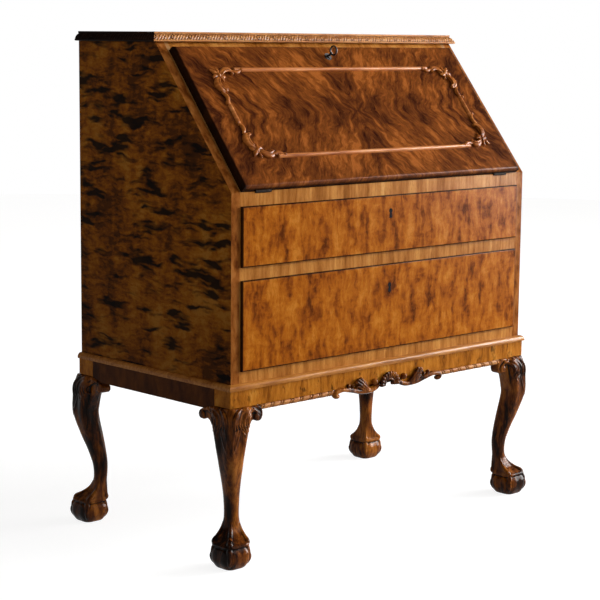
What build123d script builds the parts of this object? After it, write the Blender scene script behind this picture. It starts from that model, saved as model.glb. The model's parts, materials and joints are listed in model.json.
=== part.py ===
from build123d import *
import math
import os

# Slant-front desk on cabriole legs, in millimetres.
# Origin: on the floor, under the middle of the desk. +X right, -Y front, +Z up.
# Every name ending in share is a fraction of the size that it multiplies.

# Driving sizes of the whole desk
overall_height = 1060.0
case_width = 890.0
case_depth = 485.0
writing_height = 752.0
slope_run = 232.0
stand_height = 366.0
apron_bottom_height = 327.0

# Boards and rails of the case
side_thickness = 22.0
lining_thickness = 10.0
rail_depth = 22.0
back_thickness = 8.0
back_rebate = 7.0
top_thickness = 20.0
bottom_thickness = 14.0
bed_thickness = 14.0
dust_board_thickness = 9.0
fall_rail_height = 33.0
divider_rail_height = 31.0
bottom_rail_height = 31.0
upper_opening_share = 0.395
top_rail_width = 40.0
top_rail_thickness = 20.0
slip_clearance = 0.3
cut_overrun = 5.0

# Moulding round the top board
top_moulding_overhang = 10.0
top_moulding_inset = 2.0
top_fillet_height = 3.5
top_bead_height = 4.5
top_front_overhang = 9.0

# Fall
fall_side_gap = 3.0
fall_top_gap = 21.8
fall_thickness = 16.0
fall_edge_radius = 6.0
fall_foot_gap = 0.6
bead_width = 9.0
bead_rise = 5.0
bead_side_margin = 68.0
bead_low_line = 69.0
bead_top_margin = 63.0
corner_spray_length = 78.0
corner_spray_rise = 8.0

# Fall lock, key and escutcheon
keyhole_top_margin = 29.0
lock_width = 56.0
lock_below_key = 19.0
lock_above_key = 14.5
lock_depth = 10.0
lock_wall = 1.5
bolt_width = 15.0
bolt_thickness = 4.0
bolt_throw = 7.0
bolt_foot = 3.5
bolt_plane = 5.5
key_shank_radius = 2.4
key_fit = 0.06
key_reach_out = 33.0
key_bow_radius = 9.5
key_bow_wire_radius = 1.9
key_knop_radius = 3.4
key_bit_reach = 7.0
key_bit_width = 4.0
key_bit_thickness = 2.0
key_collar_radius = 4.2
key_collar_length = 3.0
escutcheon_radius = 9.0
escutcheon_thickness = 1.2
staple_top_margin = 10.0
staple_width = 24.0
staple_reach = 9.5
staple_wall = 3.0
staple_plate_thickness = 1.5
staple_plate_height = 14.0
staple_clearance = 1.0

# Hinges of the fall
hinge_side_margin = 58.0
hinge_width = 42.0
hinge_leaf_length = 26.0
hinge_leaf_thickness = 2.0
hinge_knuckle_radius = 3.2
hinge_pin_radius = 1.5
hinge_pin_fit = 0.05
hinge_knuckle_gap = 0.4
hinge_notch_clearance = 0.5

# Stays that carry the open fall
stay_pivot_share = 0.23
stay_pivot_inset = 8.0
stay_end_back_share = 0.4526
stay_end_up_share = 0.2778
stay_closed_angle = 0.0
stay_arm_width = 12.0
stay_arm_thickness = 3.0
stay_plate_thickness = 3.0
stay_plate_margin = 7.0
stay_stud_radius = 3.0
stay_stud_clearance = 0.2
stay_head_radius = 5.0
stay_head_thickness = 2.0
stay_groove_clearance = 0.8
stay_pivot_radius = 2.5
stay_pivot_fit = 0.05
stay_side_clearance = 0.5
stay_bracket_base = 2.0
stay_bracket_length = 34.0
stay_bracket_width = 14.0
stay_path_steps = 12
tangent_share = 0.001

# Long drawers
drawer_front_thickness = 20.0
drawer_lip = 8.0
drawer_lip_thickness = 6.0
drawer_lip_radius = 3.0
drawer_gap = 0.6
drawer_side_thickness = 11.0
drawer_back_thickness = 9.0
drawer_bottom_thickness = 6.0
drawer_bottom_lift = 9.0
drawer_back_clearance = 18.0
runner_width = 28.0
runner_thickness = 14.0
upper_keyhole_drop = 33.0
lower_keyhole_drop = 45.0
drawer_front_top_gap = 1.0
keyhole_radius = 2.7
keyhole_slot_width = 3.0
keyhole_slot_length = 11.0
drawer_lock_width = 60.0
drawer_lock_below_key = 16.0
drawer_lock_depth = 11.0
drawer_bolt_throw = 7.0
drawer_bolt_width = 20.0
drawer_bolt_thickness = 4.0
drawer_bolt_length = 16.0
bottom_tongue = 4.0
drawer_side_drop = 10.0

# Interior behind the fall
interior_set_back = 40.5
partition_thickness = 6.0
end_panel_thickness = 12.0
shelf_thickness = 8.0
small_drawer_height_share = 0.271
small_drawer_wall = 5.0
small_drawer_front_thickness = 12.0
small_drawer_gap = 0.8
small_drawer_count = 3
small_knob_radius = 8.0
small_knob_length = 17.0
pigeonhole_count = 7
valance_height_share = 0.118
valance_thickness = 7.0

# Stand
stand_overhang = 7.0
apron_thickness = 22.0
side_apron_drop = 9.0
leg_block_width = 48.0
stand_moulding_width = 9.0
stand_moulding_reach = 4.0
stand_moulding_drop = 4.0
stand_moulding_rise = 8.0
rope_radius = 6.0
rope_pitch = 27.0
rope_groove_width = 2.6
rope_groove_spacing = 6.5
rope_groove_lean = 28.0
rope_groove_depth_share = 1.25
screw_radius = 3.0
screw_length = 30.0
screw_head_radius = 5.5
screw_head_height = 3.0
cleat_share = 0.33
cleat_height = 20.0

# Legs, with the knee's reach and the foot's set-back measured along the diagonal of the case corner
knee_reach = 24.0
foot_set_back = 13.5
foot_ball_radius = 33.0
foot_ball_height = 50.0
foot_pad_radius = 23.0
claw_radius = 6.5
knee_bracket_reach = 36.0
side_bracket_reach = 44.0
knee_bracket_drop = 40.0
knee_bracket_thickness = 26.0
scroll_radius = 12.5
scroll_boss_rise = 3.0

# Carved centre piece of the front apron
centre_half_width = 168.0
centre_depth = 15.0
centre_drop = 20.0

# Places worked out from the sizes above
half_width = case_width / 2
front_y = -case_depth / 2
back_y = case_depth / 2
under_top = overall_height - top_thickness
slope_rise = under_top - writing_height
slope_angle = math.degrees(math.atan2(slope_rise, slope_run))
slope_length = math.hypot(slope_rise, slope_run)
slope_top_y = front_y + slope_run
inner_side_x = half_width - side_thickness
inner_lining_x = inner_side_x - lining_thickness
back_panel_y = back_y - back_thickness
fall_travel = 180.0 - slope_angle
stand_half_width = half_width + stand_overhang
stand_front_y = front_y - stand_overhang
fall_rail_bottom = writing_height - fall_rail_height
bottom_rail_top = stand_height + bottom_rail_height
openings_height = fall_rail_bottom - bottom_rail_top - divider_rail_height
divider_rail_top = fall_rail_bottom - openings_height * upper_opening_share
divider_rail_bottom = divider_rail_top - divider_rail_height
rail_back_y = front_y + rail_depth
bed_bottom = writing_height - bed_thickness
interior_front_y = slope_top_y + interior_set_back
small_drawer_height = slope_rise * small_drawer_height_share
valance_height = slope_rise * valance_height_share
fall_length = slope_length - fall_top_gap
fall_width = (inner_side_x - fall_side_gap) * 2
bead_half_span = fall_width / 2 - bead_side_margin
bead_high_line = fall_length - bead_top_margin
keyhole_line = fall_length - keyhole_top_margin
staple_line = fall_length - staple_top_margin
hinge_centre = fall_width / 2 - hinge_side_margin
slope_plane = Plane(
    origin=(0, front_y, writing_height),
    x_dir=(1, 0, 0),
    z_dir=(0, -math.sin(math.radians(slope_angle)), math.cos(math.radians(slope_angle))),
)

parts = {}


def block(x_low, x_high, y_low, y_high, z_low, z_high):
    """A board given by its low and high faces."""
    box = Box(x_high - x_low, y_high - y_low, z_high - z_low)
    return Pos((x_low + x_high) / 2, (y_low + y_high) / 2, (z_low + z_high) / 2) * box


def side_profile(points, x_low, x_high):
    """A board cut to an outline of (y, z) points and as thick as x_low to x_high."""
    face = make_face(Polyline(*[(0, y, z) for y, z in points], close=True))
    return Pos(x_low, 0, 0) * extrude(face, amount=x_high - x_low, dir=(1, 0, 0))


def rod(start, end, radius):
    """A round rod between two points."""
    axis = Vector(*end) - Vector(*start)
    plane = Plane(origin=start, z_dir=axis)
    return plane * Cylinder(radius, axis.length, align=(Align.CENTER, Align.CENTER, Align.MIN))


def keep(name, *solids):
    """Put one sub-part, made of one or several separate solids, on the list."""
    shapes = []
    for solid in solids:
        shapes.extend(solid.solids())
    parts[name] = shapes[0] if len(shapes) == 1 else Compound(children=shapes)


def mirrored(shape):
    """The same shape on the other side of the desk's middle plane."""
    return mirror(shape, about=Plane.YZ)


# Case sides
# Each side has its front edge sloped above the writing height and a rebate for the back panel.
side_outline = [
    (front_y, stand_height),
    (front_y, writing_height),
    (slope_top_y, under_top),
    (back_y, under_top),
    (back_y, stand_height),
]
case_side = side_profile(side_outline, inner_side_x, half_width)
case_side -= block(
    inner_side_x - cut_overrun, inner_side_x + back_rebate,
    back_panel_y, back_y + cut_overrun, stand_height - cut_overrun, under_top + cut_overrun,
)
keep("case_side_right", case_side)
keep("case_side_left", mirrored(case_side))

# Drawer stiles
# The stile thickens the front edge of the side, so that the lipped drawer fronts close against it.
stile = block(inner_lining_x, inner_side_x, front_y, rail_back_y, stand_height, writing_height)
keep("drawer_stiles", stile, mirrored(stile))


# Stay geometry
# Seen from the side, the stay arm turns on a pivot on the fall.
# A stud at its other end runs in a curved slot.
# The arm turns at a steady share of the fall's own turn, and the slot is cut along the stud's path.
stay_pivot_line = fall_length * stay_pivot_share
stay_end_back = slope_run * stay_end_back_share
stay_end_up = slope_rise * stay_end_up_share
stay_pivot_radius_arm = math.hypot(stay_pivot_line, stay_pivot_inset)
stay_pivot_lag = math.degrees(math.atan2(stay_pivot_inset, stay_pivot_line))
stay_open_run = stay_end_back + stay_pivot_line
stay_open_rise = stay_end_up - stay_pivot_inset
stay_length = math.hypot(stay_open_run, stay_open_rise)
stay_open_angle = math.degrees(math.atan2(stay_open_rise, stay_open_run))
stay_turn_share = (stay_open_angle - stay_closed_angle) / fall_travel


def stay_pivot(turn):
    """Place of the arm's pivot (y, z) when the fall has opened by turn degrees."""
    angle = math.radians(slope_angle + turn - stay_pivot_lag)
    return (
        front_y + stay_pivot_radius_arm * math.cos(angle),
        writing_height + stay_pivot_radius_arm * math.sin(angle),
    )


def stay_stud(turn):
    """Place of the arm's stud (y, z) when the fall has opened by turn degrees."""
    y, z = stay_pivot(turn)
    angle = math.radians(stay_closed_angle + stay_turn_share * turn)
    return y + stay_length * math.cos(angle), z + stay_length * math.sin(angle)


def slot_solid(half_breadth, x_low, x_high):
    """A solid as broad as twice half_breadth, along the whole path of the stud."""
    upper_side = []
    lower_side = []
    ends = []
    for step in range(stay_path_steps + 1):
        turn = fall_travel * step / stay_path_steps
        place = Vector(*stay_stud(turn))
        ahead = Vector(*stay_stud(turn + fall_travel * tangent_share))
        behind = Vector(*stay_stud(turn - fall_travel * tangent_share))
        along = (ahead - behind).normalized()
        across = along.rotate(Axis.Z, 90)
        upper_side.append(place + across * half_breadth)
        lower_side.append(place - across * half_breadth)
        if step == 0:
            ends.append(place - along * half_breadth)
        if step == stay_path_steps:
            ends.append(place + along * half_breadth)
    outline = (
        Spline(*upper_side)
        + ThreePointArc(upper_side[-1], ends[1], lower_side[-1])
        + Spline(*lower_side)
        + ThreePointArc(lower_side[0], ends[0], upper_side[0])
    )
    face = Plane.YZ * make_face(outline)
    return Pos(x_low, 0, 0) * extrude(face, amount=x_high - x_low, dir=(1, 0, 0))


# Cheeks
# A cheek lines each side above the writing bed.
# It stops the closed fall, and a groove in it holds the stud's head.
cheek_outline = [
    (front_y, writing_height),
    (slope_top_y, under_top),
    (back_panel_y, under_top),
    (back_panel_y, writing_height),
]
stay_plate_x = inner_lining_x - stay_plate_thickness
stay_arm_outer_x = stay_plate_x - stay_side_clearance
stay_arm_inner_x = stay_arm_outer_x - stay_arm_thickness
stay_head_outer_x = inner_lining_x + stay_head_thickness + stay_side_clearance
stay_groove_x = stay_head_outer_x + stay_side_clearance
cheek = side_profile(cheek_outline, inner_lining_x, inner_side_x)
cheek -= slot_solid(stay_head_radius + stay_groove_clearance, inner_lining_x - cut_overrun, stay_groove_x)
keep("cheek_right", cheek)
keep("cheek_left", mirrored(cheek))

# Slotted plates and arms of the stays
# The plate is screwed over the cheek's groove, and its narrower slot keeps the stud's head behind it.
stay_plate = slot_solid(stay_stud_radius + stay_plate_margin, stay_plate_x, inner_lining_x)
stay_plate -= slot_solid(
    stay_stud_radius + stay_stud_clearance, stay_plate_x - cut_overrun, inner_lining_x + cut_overrun
)
keep("stay_plates", stay_plate, mirrored(stay_plate))

closed_pivot = stay_pivot(0)
closed_stud = stay_stud(0)
arm_face = Plane.YZ * make_face(
    offset(
        Wire([Edge.make_line(Vector(*closed_pivot), Vector(*closed_stud))]),
        amount=stay_arm_width / 2,
        side=Side.BOTH,
    ).edges()
)
stay_arm = Pos(stay_arm_inner_x, 0, 0) * extrude(arm_face, amount=stay_arm_thickness, dir=(1, 0, 0))
stay_arm += rod(
    (stay_arm_inner_x, *closed_stud), (stay_head_outer_x, *closed_stud), stay_stud_radius
)
stay_arm += rod(
    (stay_head_outer_x - stay_head_thickness, *closed_stud), (stay_head_outer_x, *closed_stud),
    stay_head_radius,
)
stay_arm -= rod(
    (stay_arm_inner_x - cut_overrun, *closed_pivot), (stay_arm_outer_x + cut_overrun, *closed_pivot),
    stay_pivot_radius + stay_pivot_fit,
)
keep("stay_arm_right", stay_arm)
keep("stay_arm_left", mirrored(stay_arm))

# Stay brackets
# Each is a foot on the inner face of the fall, with an ear that carries the arm's pivot.
bracket_ear_x = stay_arm_inner_x - stay_side_clearance
bracket_inner_x = bracket_ear_x - stay_bracket_width
bracket_foot = Pos(
    (bracket_ear_x + bracket_inner_x) / 2, stay_pivot_line, -stay_bracket_base / 2
) * Box(stay_bracket_width, stay_bracket_length, stay_bracket_base)
bracket_ear = Pos(bracket_ear_x - stay_arm_thickness / 2, stay_pivot_line, 0) * extrude(
    Plane.YZ * make_face(
        Polyline(
            (-stay_arm_width / 2, 0), (stay_arm_width / 2, 0),
            (stay_arm_width / 2, -stay_pivot_inset), (-stay_arm_width / 2, -stay_pivot_inset),
            close=True,
        )
    ),
    amount=stay_arm_thickness / 2, both=True,
)
bracket_ear += Pos(bracket_ear_x - stay_arm_thickness / 2, stay_pivot_line, -stay_pivot_inset) * Rot(
    0, 90, 0
) * Cylinder(stay_arm_width / 2, stay_arm_thickness)
bracket_pin = Pos(0, stay_pivot_line, -stay_pivot_inset) * rod(
    (bracket_ear_x - stay_arm_thickness, 0, 0), (stay_arm_outer_x, 0, 0), stay_pivot_radius
)
bracket_head = Pos(0, stay_pivot_line, -stay_pivot_inset) * rod(
    (stay_arm_outer_x + stay_pivot_fit, 0, 0),
    (stay_arm_outer_x + stay_pivot_fit + stay_bracket_base, 0, 0),
    stay_pivot_radius + stay_bracket_base / 2,
)
bracket_pin += Pos(0, stay_pivot_line, -stay_pivot_inset) * rod(
    (stay_arm_outer_x, 0, 0), (stay_arm_outer_x + stay_pivot_fit, 0, 0), stay_pivot_radius
)
stay_bracket = slope_plane * (bracket_foot + bracket_ear + bracket_pin + bracket_head)
keep("stay_brackets", stay_bracket, mirrored(stay_bracket))

# Back panel, case bottom, dust board and writing bed
keep(
    "back_panel",
    block(
        -inner_side_x - back_rebate + slip_clearance, inner_side_x + back_rebate - slip_clearance,
        back_panel_y, back_y, stand_height, under_top,
    ),
)
keep(
    "case_bottom",
    block(
        -inner_side_x, inner_side_x, rail_back_y, back_panel_y,
        stand_height, stand_height + bottom_thickness,
    ),
)
keep(
    "dust_board",
    block(
        -inner_side_x, inner_side_x, rail_back_y, back_panel_y,
        divider_rail_bottom, divider_rail_bottom + dust_board_thickness,
    ),
)
writing_bed = block(-inner_side_x, inner_side_x, rail_back_y, back_panel_y, bed_bottom, writing_height)

# Front rails, between the stiles
fall_rail = block(-inner_lining_x, inner_lining_x, front_y, rail_back_y, fall_rail_bottom, writing_height)
divider_rail = block(
    -inner_lining_x, inner_lining_x, front_y, rail_back_y, divider_rail_bottom, divider_rail_top
)
keep(
    "bottom_rail",
    block(-inner_lining_x, inner_lining_x, front_y, rail_back_y, stand_height, bottom_rail_top),
)

# Top rail
# It lies in the plane of the slope between the cheeks, and the top of the fall closes against it.
slope_sin = math.sin(math.radians(slope_angle))
slope_cos = math.cos(math.radians(slope_angle))
top_rail_low_y = slope_top_y - top_rail_width * slope_cos
top_rail_low_z = under_top - top_rail_width * slope_sin
top_rail = side_profile(
    [
        (top_rail_low_y, top_rail_low_z),
        (slope_top_y, under_top),
        (slope_top_y + top_rail_thickness / slope_sin, under_top),
        (
            top_rail_low_y + top_rail_thickness * slope_sin,
            top_rail_low_z - top_rail_thickness * slope_cos,
        ),
    ],
    -inner_lining_x, inner_lining_x,
)

# Top board
# The carved moulding is planted round its front and two ends.
board_half_width = half_width - top_moulding_inset
board_front_y = slope_top_y - top_front_overhang + top_moulding_overhang + top_moulding_inset
top_board = block(-board_half_width, board_half_width, board_front_y, back_y, under_top, overall_height)
keep("top_board", top_board)

# The moulding's outline runs outward from the board.
# A plain fillet is above, a swelling ovolo between and a bead below.
moulding_reach = top_moulding_inset + top_moulding_overhang
ovolo_start_share = 0.28
ovolo_middle_share = 0.74
bead_line_share = 0.82
fillet_z = top_thickness - top_fillet_height
ovolo_height = fillet_z - top_bead_height
moulding_section = (
    Polyline(
        (moulding_reach * bead_line_share, 0), (0, 0), (0, top_thickness),
        (moulding_reach * ovolo_start_share, top_thickness),
        (moulding_reach * ovolo_start_share, fillet_z),
    )
    + ThreePointArc(
        (moulding_reach * ovolo_start_share, fillet_z),
        (moulding_reach * ovolo_middle_share, top_bead_height + ovolo_height * ovolo_middle_share),
        (moulding_reach, top_bead_height),
    )
    + ThreePointArc(
        (moulding_reach, top_bead_height),
        (moulding_reach + top_bead_height * ovolo_start_share, top_bead_height / 2),
        (moulding_reach * bead_line_share, 0),
    )
)
moulding_path = Polyline(
    (board_half_width, back_y, under_top), (board_half_width, board_front_y, under_top),
    (-board_half_width, board_front_y, under_top), (-board_half_width, back_y, under_top),
)
moulding_start = Plane(origin=(board_half_width, back_y, under_top), x_dir=(1, 0, 0), z_dir=(0, -1, 0))
top_edge_moulding = sweep(
    moulding_start * make_face(moulding_section), path=moulding_path, transition=Transition.RIGHT
)
keep("top_edge_moulding", top_edge_moulding)

# Fall
# A veneered panel that lies on the slope, with its outer edges rounded.
fall_board = Pos(0, (fall_foot_gap + fall_length) / 2, fall_thickness / 2) * Box(
    fall_width, fall_length - fall_foot_gap, fall_thickness
)
fall_board = fillet(fall_board.faces().sort_by(Axis.Z)[-1].edges(), fall_edge_radius)

# Bead on the fall
# The half-round bead runs as a rectangle whose corners are covered by the carved sprays.
bead_end_share = 0.76
long_bead_end = corner_spray_length
short_bead_end = corner_spray_length * bead_end_share
bead_section = make_face(
    ThreePointArc((-bead_width / 2, 0), (0, bead_rise), (bead_width / 2, 0))
    + Line((bead_width / 2, 0), (-bead_width / 2, 0))
)


def bead_run(start, end):
    """One straight run of the bead on the face of the fall, between two (x, s) points."""
    line = Line((*start, fall_thickness), (*end, fall_thickness))
    direction = Vector(*end) - Vector(*start)
    across = Vector(0, 0, 1).cross(direction)
    plane = Plane(origin=(*start, fall_thickness), x_dir=across, z_dir=direction)
    if plane.y_dir.Z < 0:
        plane = Plane(origin=(*start, fall_thickness), x_dir=-across, z_dir=direction)
    return sweep(plane * bead_section, path=line)


bead_runs = []
for line_s in (bead_low_line, bead_high_line):
    bead_runs.append(
        bead_run((-bead_half_span + short_bead_end, line_s), (bead_half_span - short_bead_end, line_s))
    )
for line_x in (-bead_half_span, bead_half_span):
    bead_runs.append(
        bead_run((line_x, bead_low_line + long_bead_end), (line_x, bead_high_line - long_bead_end))
    )

# Carved corner sprays
# Two scrolls run from the corner along the bead, and three leaves point away from the panel.
# Each scroll is a row of points as shares of the spray's length: along the bead, and across it.
long_scroll_shares = ((0.03, 0.03), (0.20, 0.13), (0.42, 0.02), (0.62, -0.02), (0.82, 0.08), (1.0, 0.04))
short_scroll_shares = ((0.03, 0.03), (0.18, 0.12), (0.36, 0.01), (0.54, 0.00), (0.72, 0.06))
scroll_heel_share = 0.15
scroll_tip_share = 0.05
curl_share = 0.065
long_curl_place_shares = ((0.30, 0.16), (0.70, 0.07), (1.0, 0.04))
short_curl_place_shares = ((0.26, 0.14), (0.72, 0.06))
leaf_angles = (172.0, 225.0, 278.0)
leaf_reach_shares = (0.13, 0.17, 0.13)
leaf_breadth_share = 0.045
band_steps = 8


def curved_band(points, start_breadth, end_breadth):
    """The outline of a carved band along a curve, swelling in its middle."""
    path = Spline(*points)
    top_side = []
    low_side = []
    for step in range(band_steps + 1):
        share = step / band_steps
        place = path @ share
        across = (path % share).rotate(Axis.Z, 90)
        breadth = start_breadth + (end_breadth - start_breadth) * share
        swell = breadth * (1 + math.sin(math.pi * share)) / 2
        top_side.append(place + across * swell / 2)
        low_side.append(place - across * swell / 2)
    outline = Spline(*top_side) + Line(top_side[-1], low_side[-1])
    outline += Spline(*low_side) + Line(low_side[0], top_side[0])
    return make_face(outline)


def corner_spray():
    """One spray in its own frame: corner of the bead at the origin, scrolls along +X and +Y."""
    size = corner_spray_length
    solid = None
    for scroll_shares, curls, turned in (
        (short_scroll_shares, short_curl_place_shares, False),
        (long_scroll_shares, long_curl_place_shares, True),
    ):
        points = [(size * across, size * along) if turned else (size * along, size * across)
                  for along, across in scroll_shares]
        band = extrude(
            curved_band(points, size * scroll_heel_share, size * scroll_tip_share), amount=corner_spray_rise
        )
        solid = band if solid is None else solid + band
        for along, across in curls:
            curl_x, curl_y = (across, along) if turned else (along, across)
            solid += Pos(size * curl_x, size * curl_y, 0) * Cylinder(
                size * curl_share, corner_spray_rise, align=(Align.CENTER, Align.CENTER, Align.MIN)
            )
    for angle, reach_share in zip(leaf_angles, leaf_reach_shares):
        reach = size * reach_share
        breadth = size * leaf_breadth_share
        leaf = make_face(
            Spline((0, -breadth / 2), (reach / 2, -breadth), (reach, 0))
            + Spline((reach, 0), (reach / 2, breadth), (0, breadth / 2))
            + Line((0, breadth / 2), (0, -breadth / 2))
        )
        solid += Pos(size * curl_share, size * curl_share, 0) * Rot(0, 0, angle) * extrude(
            leaf, amount=corner_spray_rise
        )
    return solid


spray = corner_spray()
spray_solids = []
spray_x = bead_half_span + bead_width / 2
for x_sign in (-1, 1):
    for s_line, s_sign in ((bead_low_line - bead_width / 2, 1), (bead_high_line + bead_width / 2, -1)):
        placed = spray
        if x_sign > 0:
            placed = mirror(placed, about=Plane.YZ)
        if s_sign < 0:
            placed = mirror(placed, about=Plane.XZ)
        spray_solids.append(slope_plane * (Pos(x_sign * spray_x, s_line, fall_thickness) * placed))
keep("fall_corner_carvings", *spray_solids)
# The ends of the bead are cut to fit round the curls of the sprays.
bead_solids = []
for run in bead_runs:
    bead = slope_plane * run
    for spray_solid in spray_solids:
        bead -= spray_solid
    bead_solids.append(bead.solids().sort_by(SortBy.VOLUME)[-1])
keep("fall_bead", *bead_solids)

# Lock of the fall
# The lock is let into the inner face of the fall.
# Its bolt slides up the fall through the eye of a staple on the top rail.
lock_low_s = keyhole_line - lock_below_key
lock_high_s = keyhole_line + lock_above_key
staple_low_s = staple_line - staple_wall / 2
staple_high_s = staple_line + staple_wall / 2
bolt_high_s = staple_low_s - slip_clearance
bolt_low_s = keyhole_line + bolt_foot
pocket_high_s = bolt_high_s + bolt_throw + staple_clearance
bit_sweep_radius = key_bit_reach + slip_clearance


def slope_block(x_low, x_high, s_low, s_high, n_low, n_high):
    """A box in the slope's own frame, given by its low and high faces."""
    return block(x_low, x_high, s_low, s_high, n_low, n_high)


def keyhole_cutter(length, bore, slot_width, slot_reach):
    """A keyhole's outline along +Z: a round bore with a slot below it."""
    cutter = Cylinder(bore, length, align=(Align.CENTER, Align.CENTER, Align.MIN))
    return cutter + Pos(0, -slot_reach / 2, length / 2) * Box(slot_width, slot_reach, length)


key_slot_width = key_bit_thickness + slip_clearance * 2
key_slot_reach = key_bit_reach + slip_clearance
keyhole_bore = key_shank_radius + slip_clearance

lock_body = slope_block(-lock_width / 2, lock_width / 2, lock_low_s, lock_high_s, 0, lock_depth)
bolt_half_width = bolt_width / 2
bolt_low_n = bolt_plane - bolt_thickness / 2
bolt_high_n = bolt_plane + bolt_thickness / 2
lock_body -= slope_block(
    -bolt_half_width - slip_clearance, bolt_half_width + slip_clearance,
    bolt_low_s - slip_clearance, lock_high_s + cut_overrun,
    bolt_low_n - slip_clearance, bolt_high_n + slip_clearance,
)
key_well_depth = lock_depth - lock_wall * 2
lock_body -= Pos(0, keyhole_line, lock_wall) * Cylinder(
    bit_sweep_radius, key_well_depth, align=(Align.CENTER, Align.CENTER, Align.MIN)
)
lock_body -= Pos(0, keyhole_line, lock_wall) * keyhole_cutter(
    lock_depth, key_shank_radius + key_fit, key_slot_width, key_slot_reach
)
keep("fall_lock", slope_plane * lock_body)

fall_bolt = slope_block(
    -bolt_half_width, bolt_half_width, bolt_low_s, bolt_high_s, bolt_low_n, bolt_high_n
)
keep("fall_bolt", slope_plane * fall_bolt)

# The fall is cut for the lock, the staple, the keyhole and the hinges
fall_board -= slope_block(-lock_width / 2, lock_width / 2, lock_low_s, lock_high_s, -cut_overrun, lock_depth)
fall_board -= slope_block(
    -staple_width / 2 - staple_clearance, staple_width / 2 + staple_clearance,
    lock_high_s - cut_overrun, pocket_high_s, -cut_overrun, lock_depth,
)
fall_board -= Pos(0, keyhole_line, 0) * keyhole_cutter(
    fall_thickness + cut_overrun, keyhole_bore, key_slot_width, key_slot_reach
)

# Escutcheon
escutcheon = Pos(0, keyhole_line, fall_thickness) * Cylinder(
    escutcheon_radius, escutcheon_thickness, align=(Align.CENTER, Align.CENTER, Align.MIN)
)
escutcheon -= Pos(0, keyhole_line, 0) * keyhole_cutter(
    fall_thickness + cut_overrun, keyhole_bore, key_slot_width, key_slot_reach
)
keep("key_escutcheon", slope_plane * escutcheon)

# Key
# A shank with a bit inside the lock, a collar outside the escutcheon, a knop and a ring bow.
key_low_n = lock_wall + slip_clearance
key_high_n = fall_thickness + key_reach_out
bow_centre_n = key_high_n - key_bow_radius - key_bow_wire_radius
collar_low_n = fall_thickness + escutcheon_thickness + slip_clearance
key_shank = Cylinder(
    key_shank_radius, bow_centre_n - key_bow_radius - key_low_n,
    align=(Align.CENTER, Align.CENTER, Align.MIN),
)
fall_key = Pos(0, keyhole_line, key_low_n) * key_shank
fall_key += Pos(0, keyhole_line, collar_low_n) * Cylinder(
    key_collar_radius, key_collar_length, align=(Align.CENTER, Align.CENTER, Align.MIN)
)
bit_low_n = bolt_plane - key_bit_width / 2
fall_key += slope_block(
    -key_bit_thickness / 2, key_bit_thickness / 2,
    keyhole_line - key_bit_reach, keyhole_line,
    bit_low_n, bit_low_n + key_bit_width,
)
fall_key += Pos(0, keyhole_line, bow_centre_n - key_bow_radius) * Sphere(key_knop_radius)
fall_key += Plane(origin=(0, keyhole_line, bow_centre_n), z_dir=(1, 0, 0)) * Torus(
    key_bow_radius, key_bow_wire_radius
)
keep("fall_key", slope_plane * fall_key)

# Staple on the top rail
staple_half = staple_width / 2
eye_half = bolt_half_width + slip_clearance
lock_staple = slope_block(
    -staple_half, staple_half, staple_low_s, staple_high_s, -staple_plate_thickness, staple_reach
)
lock_staple += slope_block(
    -staple_width, staple_width,
    staple_line - staple_plate_height / 2, staple_line + staple_plate_height / 2,
    -staple_plate_thickness, 0,
)
lock_staple -= slope_block(
    -eye_half, eye_half, staple_low_s - cut_overrun, staple_high_s + cut_overrun,
    bolt_low_n - slip_clearance, bolt_high_n + slip_clearance,
)
keep("lock_staple", slope_plane * lock_staple)
top_rail -= slope_plane * slope_block(
    -staple_width, staple_width,
    staple_line - staple_plate_height / 2, staple_line + staple_plate_height / 2,
    -staple_plate_thickness, cut_overrun,
)
keep("top_rail", top_rail)

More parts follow.
